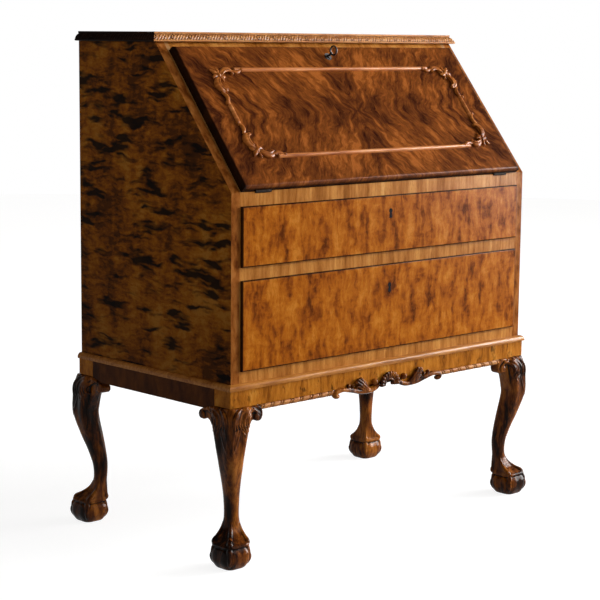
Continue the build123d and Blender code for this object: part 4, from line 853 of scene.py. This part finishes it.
def leg_ring(height, outer, inner, half_across, squareness):
    """One ring of the leg, in corner places."""
    centre, half_along = (outer + inner) / 2, (outer - inner) / 2
    paw_share = min(max((talon_start - height) / talon_blend, 0), 1)
    points = []
    for turn in np.linspace(0, math.tau, leg_sides, endpoint=False):
        share = 1 + (squareness / diagonal - 1) * math.sin(2 * turn) ** 2
        off_talon = (turn + math.pi / 4) % (math.pi / 2) - math.pi / 4
        rise = talon_rise * paw_share * (math.exp(-(off_talon / talon_breadth) ** 2) - 0.5)
        along = centre + (half_along * share + rise) * math.cos(turn)
        across = (half_across * share + rise) * math.sin(turn)
        points.append(((along + across) * diagonal, (along - across) * diagonal, height))
    return points


section_table = curve_through(leg_sections, 16)


def section_at(height):
    """Outer and inner reach, half width and squareness of the leg at a height."""
    return [np.interp(height, section_table[:, 0], column) for column in section_table.T[1:]]


sawn_leg = skin([
    leg_ring(height, *section_at(height))
    for height in np.linspace(leg_sections[0][0], leg_sections[-1][0], leg_rows)
])
print("leg sections:", len(leg_sections), "rings:", leg_rows)

# %% [markdown]
# The foot is a bird's claw that grips a ball. A carver saws the ball as a block with its corners under the
# claws and rounds it between them. A claw is a tapering rod with three knuckles, which runs from the
# ankle down the ball to a nail just above the floor. Its radius and how far it stands out are given at a
# few heights, and the same claw is laid round the foot four times.

# %% Ball and claws
foot_middle = -13.5 * diagonal
ball_sides = 48
claw_count = 4
# Height and radius of the ball, which is cut nearly square, with its corners under the claws
ball_squareness = 0.085
ball_profile = [
    (0.3, 23), (2, 26.5), (8, 31), (15, 34.5), (21, 35.7), (27, 35.7), (33, 35), (39, 32.5), (44, 29),
    (50, 25),
]


def ball_ring(height, radius):
    """One ring of the ball, flattened a little between the claws."""
    points = []
    for turn in np.linspace(0, math.tau, ball_sides, endpoint=False):
        reach = radius * (1 - ball_squareness * math.cos(4 * turn))
        points.append((foot_middle + reach * math.cos(turn), foot_middle + reach * math.sin(turn), height))
    return points


foot_shapes = [skin([ball_ring(height, radius) for height, radius in curve_through(ball_profile, 4)])]
# Height and radius of a claw, and how far it stands out of ankle, paw and ball, from the top to the nail
claw_steps = [
    (88, 3.0, 0.8), (74, 3.8, 2.8), (62, 4.6, 4.2), (53, 6.0, 5.4), (46.5, 4.4, 0.6), (39.5, 6.0, 7.0),
    (31, 5.0, 5.0), (23, 4.8, 6.4), (14, 4.0, 4.6), (6, 3.0, 1.0),
]
paw_foot_height = leg_sections[1][0]
ball_table = curve_through(ball_profile, 6)


def foot_edge(height, turn):
    """Middle along the diagonal and reach from it, of the ankle, paw or ball at a height."""
    if height > paw_foot_height:
        outer, inner, half_across = section_at(height)[:3]
        reach = abs(math.cos(turn)) * (outer - inner) / 2 + abs(math.sin(turn)) * half_across
        return (outer + inner) / 2, reach
    return foot_middle / diagonal, np.interp(height, ball_table[:, 0], ball_table[:, 1])


claw_radii = curve_through([(radius, 0) for height, radius, proud in claw_steps], 6)[:, 0]
for turn in np.arange(claw_count) * math.pi / 2:
    claw_places = []
    for height, radius, proud in claw_steps:
        middle, reach = foot_edge(height, turn)
        along = middle + (reach + proud - radius) * math.cos(turn)
        across = (reach + proud - radius) * math.sin(turn)
        claw_places.append(((along + across) * diagonal, (along - across) * diagonal, height))
    claw_out = ((math.cos(turn) + math.sin(turn)) * diagonal, (math.cos(turn) - math.sin(turn)) * diagonal, 0)
    foot_shapes.append(rod_along(curve_through(claw_places, 6), claw_radii, 12, facing=claw_out))
print("claws:", claw_count, "steps of a claw:", len(claw_steps))

# %% [markdown]
# Beside each knee sits a small bracket, sawn from a board to an outline that ends in a scroll, and glued
# between the leg and the apron. The front one and the side one differ a little. Each is its outline
# drawn as four closed rings from back to front, the outer ones a little smaller, which softens its edges.

# %% Knee brackets
ear_face = 8.5
ear_back = -14.0
ear_middle = (40.0, 298.0)
ear_softening = 3.0
ear_back_shrink = 1.5
ear_face_shrink = 2.2
volute_radius = 9.8
front_volute = (block_reach + 20.5, apron_bottom - 23.3)
side_volute = (block_reach + 33.0, apron_bottom - 21.5)
# Inward and up: under the apron to the volute, round it, and down the inner edge of the leg
front_ear_outline = [
    (24, 327), (50, 326.8), (69, 326), (76, 321.5), (80, 314), (80.6, 305), (77.5, 297), (71.5, 293.6),
    (64, 294), (59, 296.5), (53.5, 298), (50, 295.5), (46.5, 289), (42.5, 281), (38, 270), (33, 257),
    (28, 244), (14, 244),
]
side_ear_outline = [
    (24, 327), (46, 326.4), (56, 321), (68, 318), (78, 315.5), (84, 309), (84.6, 302), (80.5, 296.8),
    (74, 295.2), (67.5, 296.8), (61.5, 299.5), (55.5, 296.5), (50, 288.5), (44.5, 279), (38.5, 268),
    (33, 256), (28, 244), (14, 244),
]


def ear_ring(outline, front_reach, shrink):
    """A bracket's outline at a distance in front of the case, drawn in by a few millimetres."""
    ring_points = []
    for inward, height in outline:
        away = np.array((inward, height)) - ear_middle
        place = ear_middle + away * (1 - shrink / max(np.linalg.norm(away), 1))
        ring_points.append((-place[0], front_reach, place[1]))
    return ring_points


def ear(outline):
    """A sawn bracket with softened edges."""
    return skin([
        ear_ring(outline, ear_back, ear_back_shrink), ear_ring(outline, ear_back + ear_softening, 0),
        ear_ring(outline, ear_face - ear_softening, 0), ear_ring(outline, ear_face, ear_face_shrink),
    ])


def other_face(shape):
    """A shape of the front face, mirrored about the corner's diagonal onto the side face."""
    points, faces = shape
    return [(y, x, z) for x, y, z in points], [tuple(reversed(face)) for face in faces]


base_shapes = [sawn_leg, ear(front_ear_outline), other_face(ear(side_ear_outline))]
print("volutes at", front_volute, side_volute)

# %% [markdown]
# A leaf lies over each knee. Its ribs spring from the scrolls of the brackets, sweep over the knee and end
# in curled tips, and a husk hangs from its middle down the leg. The eye follows these ribs, so each is a
# rod along a line drawn flat, as a carver pencils it on the face, and then dropped on the leg's surface. A
# finer rib fills each gap. The side face has the same leaf, shifted to its own scroll.

# %% Ribs of the knee leaf and the volutes
# Inward and up along each main rib, from its root at the volute or the block to its tip
rib_lines = [
    [(62, 313), (52, 318.5), (39, 313), (31, 303), (31, 294), (36, 285)],
    [(48, 322.5), (34, 318), (22.5, 308), (19, 297), (23, 283)],
    [(33, 324), (18.5, 317), (8.5, 306), (7, 296), (12, 286)],
    [(19, 324.5), (5, 317), (-3.5, 306), (-6, 294), (-6, 279)],
]
rib_radius = 3.9
fine_rib_radius = 2.7
fine_rib_points = 41
rib_rise = 0.6
rib_swelling = (0.7, 1, 1, 0.8)
rib_tip_radius = 0.9
husk_radii = (0.9, 1.5, 1.5, 0.9)
husk_rise = -0.1
# The side face has its scroll elsewhere. A rib's points shift towards it by a share of the way: none up to
# leaf_edge from the corner, and all of it a leaf_span further in
leaf_edge = 20
leaf_span = 42
volute_steps = 60
volute_turns = -1.3
volute_start = math.radians(100)
volute_rod = (3.0, 2.6, 1.9)
volute_margin = 1.2
volute_inner_radius = 3.0
volute_proud = 0.4
volute_climb = 2.0
volute_eye = (6.8, 3.4, 6.8)
volute_eye_proud = 1.0
# A ray cast back at a face starts further out than any point of the leg
ray_start = 80
husk_lines = [
    [(-7, 279), (-10, 262), (-10, 246), (-14, 232)], [(10, 284), (4, 268), (-1, 256), (-9, 240), (-14, 232)],
    [(12, 286), (17, 278), (22, 272), (26, 279), (24, 284)], [(36, 286), (33, 279), (30, 283)],
]


def spiral(centre, start_radius, end_radius, start_turn, turns, steps):
    """A flat volute of two-number points round a centre; turns under 0 run the other way."""
    path = []
    for share in np.linspace(0, 1, steps):
        radius = start_radius + (end_radius - start_radius) * share
        turn = start_turn + math.tau * turns * share
        path.append((centre[0] + radius * math.cos(turn), centre[1] + radius * math.sin(turn)))
    return path


def face_carving(outline, volute):
    """The volute, ribs and husk of one face, laid on the leg and its bracket."""
    points, faces = joined([sawn_leg, ear(outline)])
    tree = BVHTree.FromPolygons([Vector(point) for point in points], faces)

    def on_face(inward, height, rise):
        """The place on the carved face in front of a point of the drawing."""
        hit = tree.ray_cast(Vector((-inward, ray_start, height)), Vector((0, -1, 0)))[0]
        if hit is None or hit.y < ear_back:
            hit = tree.find_nearest(Vector((-inward, ear_face, height)))[0]
        return (hit.x, hit.y + rise, hit.z)

    flat_volute = spiral(
        volute, volute_radius - volute_margin, volute_inner_radius, volute_start, volute_turns, volute_steps
    )
    volute_path = [
        (-inward, ear_face + volute_proud + volute_climb * index / volute_steps, height)
        for index, (inward, height) in enumerate(flat_volute)
    ]
    shapes = [rod_along(volute_path, volute_rod, 10)]
    shapes.append(ball_at((-volute[0], ear_face + volute_eye_proud, volute[1]), volute_eye, 10, 20))
    root = np.array((volute[0] - front_volute[0], volute[1] - front_volute[1]))
    plans = []
    for line in rib_lines:
        shares = [max(inward - leaf_edge, 0) / leaf_span for inward, height in line]
        shifted = [np.array(place) + root * share for place, share in zip(line, shares)]
        plans.append(curve_through(shifted, 10))
    strokes = [(plan, rib_radius) for plan in plans]
    for pair in zip(plans, plans[1:]):
        near, far = (plan[np.linspace(0, len(plan) - 1, fine_rib_points).astype(int)] for plan in pair)
        strokes.append(((near + far) / 2, fine_rib_radius))
    for plan, radius in strokes:
        rib_path = [on_face(inward, height, rib_rise) for inward, height in plan]
        rib_radii = [radius * share for share in rib_swelling] + [rib_tip_radius]
        shapes.append(rod_along(rib_path, rib_radii, 10))
    for line in husk_lines:
        husk_path = [on_face(inward, height, husk_rise) for inward, height in curve_through(line, 8)]
        shapes.append(rod_along(husk_path, husk_radii, 8))
    return shapes


knee_shapes = face_carving(front_ear_outline, front_volute)
knee_shapes += [other_face(shape) for shape in face_carving(side_ear_outline, side_volute)]
print("ribs:", len(rib_lines) * 2 - 1, "a face")

# %% [markdown]
# All shapes of one leg are joined into a single skin with a remesh, as if cut from one block, and the
# smallest cube of that remesh is little more than a millimetre, which keeps the ribs crisp. The other
# three legs are mirror copies, as a maker turns the same pattern over for the other side.

# %% Carve the four legs
carving_voxel = 1.15


def mirrored_copy(name, source, x_sign, y_sign):
    """A copy of a piece's mesh, mirrored about the desk's middle planes."""
    mesh = source.data.copy()
    mesh.name = name
    mesh.transform(Matrix.Diagonal((x_sign, y_sign, 1, 1)))
    if x_sign * y_sign < 0:
        mesh.flip_normals()
    made = bpy.data.objects.new(name, mesh)
    bpy.context.scene.collection.objects.link(made)
    return made


leg_shapes = [(to_desk(points), faces) for points, faces in base_shapes + foot_shapes + knee_shapes]
leg_front_right = carved("carved_leg_front_right", leg_shapes, carving_voxel)
carved_legs = {
    "leg_front_right": leg_front_right,
    "leg_front_left": mirrored_copy("carved_leg_front_left", leg_front_right, -1, 1),
    "leg_back_right": mirrored_copy("carved_leg_back_right", leg_front_right, 1, -1),
    "leg_back_left": mirrored_copy("carved_leg_back_left", leg_front_right, -1, -1),
}
for node_name, leg in carved_legs.items():
    leg.data.materials.append(carved_wood)
    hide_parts(node_name, "knee_brackets")
    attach(leg, "desk")
print("faces of a leg:", len(leg_front_right.data.polygons))

# %% [markdown]
# Above each knee the leg stays square: this block joins the two aprons, and it has the aprons' own
# veneer. It takes its size from the apron and the case, with its edges just broken, as by sandpaper.

# %% Corner blocks
block_soften = 0.8


def faced_outward(made):
    """Turn all faces of a closed mesh to the outside."""
    edit = bmesh.new()
    edit.from_mesh(made.data)
    bmesh.ops.recalc_face_normals(edit, faces=edit.faces)
    edit.to_mesh(made.data)
    edit.free()


for node_name in carved_legs:
    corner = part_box(node_name)[1]
    x_sign = 1 if corner.x > 0 else -1
    back = corner.y > 0
    near_x, far_x = apron_high.x / mm, half_width + stand_reach
    low_y = half_depth - block_reach - stand_reach if back else -half_depth - stand_reach
    high_y = half_depth if back else -half_depth + block_reach
    block_rings = [
        [(x_sign * near_x, low_y, height), (x_sign * far_x, low_y, height),
         (x_sign * far_x, high_y, height), (x_sign * near_x, high_y, height)]
        for height in (apron_bottom, stand_top)
    ]
    corner_block = mesh_object(node_name.replace("leg", "corner_block"), *skin(block_rings), smooth=False)
    faced_outward(corner_block)
    soften = corner_block.modifiers.new("softened edges", "BEVEL")
    soften.width = block_soften * mm
    soften.segments = 2
    corner_block.data.materials.append(apron_veneer)
    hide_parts(node_name)
    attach(corner_block, "desk")
print("corner blocks:", len(carved_legs))

# %% [markdown]
# The edge of the top is an ovolo carved with leaves and small eyes. A relief this shallow is easiest as a
# run of close sections, each pushed in where the gouge has cut, so the moulding keeps its outer size.

# %% Carved moulding of the top
top_low, top_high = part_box("top_board")
under_top = top_low.z / mm
top_thickness = (top_high.z - top_low.z) / mm
board_half_width = top_high.x / mm
board_front = top_low.y / mm
board_back = top_high.y / mm
edge_reach = 12.0
fillet_height = under_top + 16.0
edge_bead = 4.5
leaf_pitch = 46.0
rib_pitch = 7.6
edge_step = 0.75
ovolo_steps = 20
# Where a leaf starts and how far it reaches, as shares of the ovolo's height, and how steep its edge is cut
leaf_low = 0.12
leaf_reach = 0.8
leaf_roundness = 0.7
leaf_steepness = 6
rib_lean = 8
rib_depth = 0.75
# The eye's height as a share of the ovolo's, the ovolo's height as it is measured round the eye, and the
# radii of the eye and of the groove in it
eye_height = 0.42
eye_stretch = 11
eye_radius = 5.2
eye_groove = (2.7, 4.2)
eye_groove_depth = 0.9
eye_depth = 0.05
# The veins are deep in the middle of a leaf and fade towards its ends, never below their least depth
vein_fade = 3
vein_least = 0.3
cut_depth = 1.5
cut_way = np.array((-0.85, -0.35))
# Out past the edge and up, round the bead under the ovolo
bead_outline = ((0.9, 1.0), (1.2, 2.3), (0.8, 3.6))
bead_foot = 0.82
ovolo_belly = 0.8
ovolo_belly_drop = 2.2
fillet_reach = 0.3
fillet_step = 0.2
arris_reach = 0.24
arris_drop = 0.3
edge_hollows = ((8, 0.35),)


def leaf_cut(along, up):
    """How deep the ovolo is cut, from 0 to 1, at a distance along it and a share of its height."""
    lobe = abs(math.sin(math.pi * along / leaf_pitch * 2))
    ground = min(max((up - leaf_low - leaf_reach * lobe ** leaf_roundness) * leaf_steepness, 0), 1)
    from_leaf = (along / leaf_pitch * 2) % 1 - 0.5
    rib = 0.5 - 0.5 * math.cos(math.tau * (along + rib_lean * up) / rib_pitch)
    eye_along = (along / leaf_pitch + 0.25) % 1 - 0.5
    from_eye = math.hypot(eye_along * leaf_pitch, (up - eye_height) * eye_stretch)
    if from_eye < eye_radius:
        return eye_groove_depth if eye_groove[0] < from_eye < eye_groove[1] else eye_depth
    return max(ground, rib_depth * rib * min(1, vein_fade * (0.5 - abs(from_leaf)) + vein_least))


def edge_section(along):
    """Reach out of the board and height of one closed section of the moulding."""
    points = [(0.0, 0.0), (edge_reach * bead_foot, 0.0)]
    points += [(edge_reach + out, up) for out, up in bead_outline]
    start = np.array((edge_reach, edge_bead))
    end = np.array((edge_reach * fillet_reach, fillet_height - under_top))
    belly = np.array((edge_reach * ovolo_belly, fillet_height - under_top - ovolo_belly_drop))
    for share in np.linspace(0, 1, ovolo_steps):
        place = start * (1 - share) ** 2 + 2 * belly * share * (1 - share) + end * share ** 2
        points.append(tuple(place + cut_way * cut_depth * leaf_cut(along, share)))
    points.append((edge_reach * fillet_reach, fillet_height - under_top + fillet_step))
    points.append((edge_reach * fillet_reach, top_thickness - arris_drop))
    return points + [(edge_reach * arris_reach, top_thickness), (0.0, top_thickness)]


side_run = board_back - board_front
front_run = board_half_width * 2
side_sections = int(side_run / edge_step)
front_sections = int(front_run / edge_step)


def side_ring(x_sign, share):
    """A section on one side of the top, at a share of the way from the front mitre to the back."""
    return [
        (x_sign * (board_half_width + out), board_front - out + (side_run + out) * share, under_top + up)
        for out, up in edge_section(side_run * share)
    ]


def front_ring(share):
    """A section on the front of the top, at a share of the way from the right mitre to the left."""
    return [
        ((board_half_width + out) * (1 - 2 * share), board_front - out, under_top + up)
        for out, up in edge_section(front_run * share)
    ]


edge_rings = [side_ring(1, share) for share in np.linspace(1, 0, side_sections)]
edge_rings += [front_ring(share) for share in np.linspace(0, 1, front_sections)[1:]]
edge_rings += [side_ring(-1, share) for share in np.linspace(0, 1, side_sections)[1:]]
carved_edge = mesh_object("carved_top_edge", *skin(edge_rings))
faced_outward(carved_edge)
mark_hollows(carved_edge, edge_hollows)
carved_edge.data.materials.append(pale_carved_wood)
carved_edge.data.materials.append(end_moulding_in_painted_shade)
# Behind the mitres, on the two ends of the top, the moulding is painted black as shade
for polygon in carved_edge.data.polygons:
    if polygon.center.y / mm + abs(polygon.center.x / mm) - board_half_width > board_front:
        polygon.material_index = 1
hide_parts("top_edge_moulding")
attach(carved_edge, "desk")
print("sections of the top edge:", len(edge_rings))

# %% [markdown]
# Under the front apron runs a half-round moulding carved as a rope, on both sides of the centre carving. A
# carver turns a rod, cuts slanting grooves round it in pairs and splits it. Here each section of the rod
# is a circle, drawn in where a groove crosses it, and the groove's place shifts round the circle, which
# gives the slant.

# %% Rope mouldings under the apron
rope_low, rope_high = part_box("rope_moulding")
rope_radius = (rope_high.z - rope_low.z) / mm / 2
rope_height = (rope_high.z + rope_low.z) / mm / 2
rope_forward = rope_low.y / mm + rope_radius
rope_past = 3.0
rope_length = 206.0
rope_outer = rope_high.x / mm + rope_past
rope_inner = rope_outer - rope_length
rope_step = 0.6
rope_sides = 28
rope_pitch = 27.0
strand_gap = 6.5
rope_slant = 28
rope_lean = math.tan(math.radians(rope_slant))
groove_depth = 1.9
groove_width = 1.5
rope_hollows = ((8, 0.3),)
rope_shapes = []
for side in (-1, 1):
    rope_rings = []
    for along in np.arange(rope_inner, rope_outer, rope_step):
        ring_points = []
        for turn in np.linspace(0, math.tau, rope_sides, endpoint=False):
            shifted = along - rope_inner + rope_lean * rope_radius * math.sin(turn)
            nearest = (shifted % rope_pitch) - rope_pitch / 2
            cut = sum(
                math.exp(-((nearest - place) / groove_width) ** 2)
                for place in (-strand_gap / 2, strand_gap / 2)
            )
            reach = rope_radius - groove_depth * min(cut, 1)
            ring_points.append((
                side * along, rope_forward - reach * math.cos(turn), rope_height + reach * math.sin(turn)
            ))
        rope_rings.append(ring_points)
    rope_shapes.append(skin(rope_rings))
carved_rope = mesh_object("carved_rope_moulding", *joined(rope_shapes))
faced_outward(carved_rope)
mark_hollows(carved_rope, rope_hollows)
carved_rope.data.materials.append(pale_carved_wood)
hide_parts("rope_moulding")
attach(carved_rope, "desk")
print("rope from", round(rope_inner, 1), "to", round(rope_outer, 1))

# %% [markdown]
# The centre of the apron has a carving of scrolls, leaves and a ribbed arch, the same on both sides. One
# half is drawn as rods along curves, which is how a carver blocks it out, and mirrored before the remesh.

# %% Centre carving
carving_plane = -250.0
centre_voxel = 0.85
centre_relax = 2
half_carving = []

# Out from the middle and up, along the scrolled band from its outer end to the arch
band_line = [
    (151, 315), (154.5, 312.6), (160, 313.2), (163, 317), (159.5, 321.5), (150, 324.0), (138, 324.6),
    (122, 321.9), (105, 318.2), (88, 314), (70, 312.6), (52, 313.2), (39, 317), (31, 323),
]
band_radii = (3.2, 4.6, 5.4, 5.8, 5.6, 5.2, 5.0, 5.2, 5.4, 5.6, 5.6, 5.4, 5.0, 4.6)
band_deepening = 1.25
band_path = curve_through([(x, carving_plane, z) for x, z in band_line], 6)
half_carving.append(rod_along(band_path, band_radii, 14, band_deepening))
ridge_forward = -255.4
ridge_drop = 2.4
ridge_radii = (1.2, 1.9, 1.2)
ridge_path = curve_through([(x, ridge_forward, z - ridge_drop) for x, z in band_line[4:12]], 6)
half_carving.append(rod_along(ridge_path, ridge_radii, 8))

# Out, up, radius and forward place of the berries and knots on the band; the first has a stalk
berries = ((124, 331, 4.2, -252), (111, 328.5, 3.2, -251.5), (45, 330.5, 7.0, -253), (14, 319.5, 4.2, -248.5))
stalk = ((120, -251, 323), (124, -252, 331))
stalk_radius = 3.0
for x, z, radius, forward in berries:
    half_carving.append(ball_at((x, forward, z), (radius, radius, radius)))
half_carving.append(rod_along(stalk, (stalk_radius, stalk_radius), 10))
print("band points:", len(band_line), "berries:", len(berries))

# %% [markdown]
# On each side of the arch a leaf of four fingers rises from the band. A finger starts close to its
# neighbours, spreads, bulges forward and ends in a small curl, so it is a rod with a ball at its tip.

# %% Leaf of the centre carving
leaf_foot = np.array((64.0, 313.5))
leaf_along = np.array((0.815, 0.58))
leaf_across = np.array((-0.58, 0.815))
leaf_forward = -252.2
leaf_crown = 2.6
# Place across the leaf, length and lift of each of its fingers
leaf_fingers = ((-8.0, 36, 0.0), (-2.8, 44, 1.2), (2.6, 45, 1.6), (7.8, 39, 0.8))
finger_radii = (2.2, 3.0, 3.4, 3.2, 2.8)
finger_closeness = 0.45
finger_spread = 0.75
finger_bend = 0.8
tip_shift = np.array((1.0, 0.6, -1.4))
tip_radii = (3.2, 3.0, 3.2)
for offset, length, lift in leaf_fingers:
    rib_line = []
    for share in np.linspace(0, 1, 9):
        sideways = leaf_across * offset * (finger_closeness + finger_spread * share)
        place = leaf_foot + sideways + leaf_along * length * share
        rise = leaf_crown * math.sin(math.pi * share * finger_bend)
        rib_line.append((place[0], leaf_forward - lift - rise, place[1]))
    half_carving.append(rod_along(rib_line, finger_radii, 10))
    half_carving.append(ball_at(rib_line[-1] + tip_shift, tip_radii, 10, 14))
print("fingers of a leaf:", len(leaf_fingers))

# %% [markdown]
# In the middle a small arch fans out like a shell, with a rounded lip below it and a plain ground behind.
# All its ribs are one short rod, turned step by step about the arch's foot. Then the other half is
# mirrored, and both are joined, so that no seam shows where they meet.

# %% Ribbed arch in the middle, and the carving as one skin
arch_height = 317.6
arch_rib_count = 6
arch_rib_turn = 17.0
# Reach from the middle and rise off the plane, along one rib
arch_rib_steps = ((14, 1.0), (18, 3.6), (25, 5.2), (29.5, 4.0))
arch_rib_radii = (2.4, 3.4, 4.1, 3.6)
for rib in range(arch_rib_count):
    turn = math.radians(90 - arch_rib_turn * rib)
    rib_line = [
        (reach * math.cos(turn), carving_plane - rise, arch_height + reach * math.sin(turn))
        for reach, rise in arch_rib_steps
    ]
    half_carving.append(rod_along(curve_through(rib_line, 4), arch_rib_radii, 10))
# The lip and the ground start just under the level and end just past the middle, inside their mirror half
lip_low, back_low, past_middle = (math.radians(angle) for angle in (-6, -4, 94))
lip_radius = 14.4
lip_flatness = 0.9
lip_forward = -254.4
lip_line = [
    (lip_radius * math.cos(turn), lip_forward, arch_height + lip_radius * math.sin(turn) * lip_flatness)
    for turn in np.linspace(lip_low, past_middle, 16)
]
half_carving.append(rod_along(lip_line, (1.6, 2.2, 2.2), 10))
back_width = 22
back_height = 21
back_forward = -247.5
back_line = [
    (back_width * math.cos(turn), back_forward, arch_height + back_height * math.sin(turn))
    for turn in np.linspace(back_low, past_middle, 16)
]
half_carving.append(rod_along(back_line, (4.5, 5.0), 12))
other_half = [
    ([(-x, y, z) for x, y, z in points], [tuple(reversed(face)) for face in faces])
    for points, faces in half_carving
]
centre_carving = carved("carved_apron_centre", half_carving + other_half, centre_voxel, centre_relax)
centre_carving.data.materials.append(carved_wood)
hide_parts("centre_carving")
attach(centre_carving, "desk")
print("shapes in the centre carving:", len(half_carving) * 2)

# %% [markdown]
# Behind the carving the apron's lower edge is sawn to the same line. A thin board, drawn from the band's
# own points, fills the place between the band and the straight apron.

# %% Sawn edge behind the centre carving
ground_front = -249.4
ground_back = -243.0
ground_peak = (24, 329)
ground_end = 150
ground_top = 328
ground_line = band_line[5:] + [ground_peak]
ground_outline = [(-x, z) for x, z in ground_line] + ground_line[::-1]
ground_outline += [(ground_end, ground_top), (-ground_end, ground_top)]
ground_rings = [[(x, forward, z) for x, z in ground_outline] for forward in (ground_front, ground_back)]
carving_ground = mesh_object("apron_shaped_edge", *skin(ground_rings), smooth=False)
faced_outward(carving_ground)
carving_ground.data.materials.append(apron_veneer)
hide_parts("centre_carving")
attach(carving_ground, "desk")
print("points of the sawn edge:", len(ground_outline))

# %% [markdown]
# At each corner of the bead on the fall sits a small spray: three leaves that point outward and two
# scrolls that run into the bead. One spray is carved flat, then laid on the slope and mirrored.

# %% Corner sprays of the fall
writing_height = 752.0
slope_foot = Vector((0, -half_depth, writing_height))
slope_up = Vector((0, math.cos(math.radians(slope_angle)), math.sin(math.radians(slope_angle))))
slope_out = Vector((0, -math.sin(math.radians(slope_angle)), math.cos(math.radians(slope_angle))))
fall_face = 16.0
spray_corner = 354.5
spray_lines = (71.0, 283.0)
# Points along the horizontal bead and along the side bead, radii and rise of each stroke
spray_strokes = [
    ([(8, 19), (-1, 28), (-4, 38), (0, 48), (9, 54)], (4.2, 6.0, 7.2, 6.4, 2.6), 2.4),
    ([(7, 23), (3, 31), (2, 40), (7, 48), (15, 50)], (1.6, 2.4, 2.6, 2.0, 1.0), 6.2),
    ([(-2, 54), (4, 63), (5, 71), (1, 79), (-3, 83)], (3.0, 4.6, 4.8, 3.4, 3.0), 2.4),
    ([(17, 13), (25, 4), (36, -1), (46, 0), (52, 7)], (4.0, 5.6, 6.2, 5.2, 2.4), 2.4),
    ([(20, 13), (27, 7), (37, 4), (46, 6), (49, 12)], (1.5, 2.1, 2.3, 1.8, 1.0), 6.0),
    ([(53, 2), (61, 5), (69, 4), (76, 0), (80, -1)], (2.8, 4.4, 4.6, 3.2, 2.8), 2.4),
    ([(9, 12), (2, 5), (-5, -2)], (4.2, 5.0, 1.0), 3.2),
    ([(10, 11), (13, 2), (14, -7)], (3.6, 3.6, 0.8), 3.2),
    ([(8, 14), (-1, 16), (-7, 21)], (3.8, 4.2, 1.0), 3.0),
    ([(12, 14), (20, 18), (28, 15)], (4.0, 4.6, 1.8), 2.8),
    ([(12, 16), (16, 23), (18, 30)], (3.4, 3.2, 1.6), 2.8),
]
# Place and radius of the knobs where strokes meet or end
spray_knobs = ((10.5, 13, 5.6), (-2, 82, 4.4), (79, 0, 4.2), (11, 52, 4.0), (50, 9, 3.6))
knob_rise = 2.6
knob_height = 1.1
stroke_flatness = 0.8
spray_voxel = 0.75
spray_relax = 2
spray_shapes = []
for plan, radii, rise in spray_strokes:
    path = curve_through([(along, across, rise) for along, across in plan], 6)
    spray_shapes.append(rod_along(path, radii, 12, stroke_flatness, facing=(0, 0, 1)))
for x, y, radius in spray_knobs:
    spray_shapes.append(ball_at((x, y, knob_rise), (radius, radius, radius * knob_height), 10, 16))

spray_lay = Matrix(((1, 0, 0), (0, slope_up.y, slope_out.y), (0, slope_up.z, slope_out.z))).to_4x4()
for side_name, x_sign in (("left", 1), ("right", -1)):
    for line_name, line, y_sign in (("low", spray_lines[0], 1), ("high", spray_lines[1], -1)):
        spray = carved("carved_spray_" + line_name + "_" + side_name, spray_shapes, spray_voxel, spray_relax)
        flat_place = Matrix.Translation(Vector((-x_sign * spray_corner, line, fall_face)) * mm)
        flip = Matrix.Diagonal((x_sign, y_sign, 1, 1))
        spray.data.transform(Matrix.Translation(slope_foot * mm) @ spray_lay @ flat_place @ flip)
        if x_sign * y_sign < 0:
            spray.data.flip_normals()
        spray.data.materials.append(spray_wood)
        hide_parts("fall_corner_carvings")
        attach(spray, "fall")
print("strokes of a spray:", len(spray_strokes))

# %% [markdown]
# A keyhole is a round bow over a slot that widens a little to its foot. It is too deep for light to reach
# its end, so each drawer gets a thin sheet of painted shade, nearly black, just proud of its front: a plain
# dark shape shows the hole as it looks, from any side.

# %% Keyholes of the drawers
keyhole_shade, tree = new_material("painted shade of a keyhole")
# The keyholes' painted shade varies a little in patches of a few millimetres
keyhole_shade_patch = 3
keyhole_shade_noise = add(tree, "ShaderNodeTexNoise", {"Scale": 1 / (keyhole_shade_patch * mm), "Detail": 3.0})
keyhole_shade_tone = add(
    tree, "ShaderNodeValToRGB", {"Fac": keyhole_shade_noise.outputs["Fac"]}, stops=[(0.3, "#030202"), (0.7, "#0c0907")]
)
keyhole_shade_shader = add(
    tree, "ShaderNodeBsdfPrincipled",
    {"Base Color": keyhole_shade_tone.outputs[0], "Roughness": 0.8, "Specular IOR Level": 0.02},
)
add(tree, "ShaderNodeOutputMaterial", {"Surface": keyhole_shade_shader.outputs[0]})

keyhole_bow = 5.2
keyhole_half_foot = 4.2
keyhole_drop = 15.0
keyhole_front = 0.3
keyhole_back = 1.0
keyhole_outline = [
    (keyhole_bow * math.sin(turn), keyhole_bow * math.cos(turn)) for turn in np.linspace(-2.5, 2.5, 24)
] + [(keyhole_half_foot, -keyhole_drop), (-keyhole_half_foot, -keyhole_drop)]
# How far the middle of the bow lies under the top of each drawer's front
bow_drops = {"upper_drawer": 33.0, "lower_drawer": 45.0}
for body, drop in bow_drops.items():
    front_low, front_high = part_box(body + "_front")
    face_y = front_low.y / mm
    bow_height = front_high.z / mm - drop
    keyhole = mesh_object(body + "_keyhole_painted_shade", *skin([
        [(x, y, bow_height + z) for x, z in keyhole_outline]
        for y in (face_y - keyhole_front, face_y + keyhole_back)
    ]), smooth=False)
    faced_outward(keyhole)
    keyhole.data.materials.append(keyhole_shade)
    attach(keyhole, body)
    print(body, "keyhole at", round(bow_height, 1))
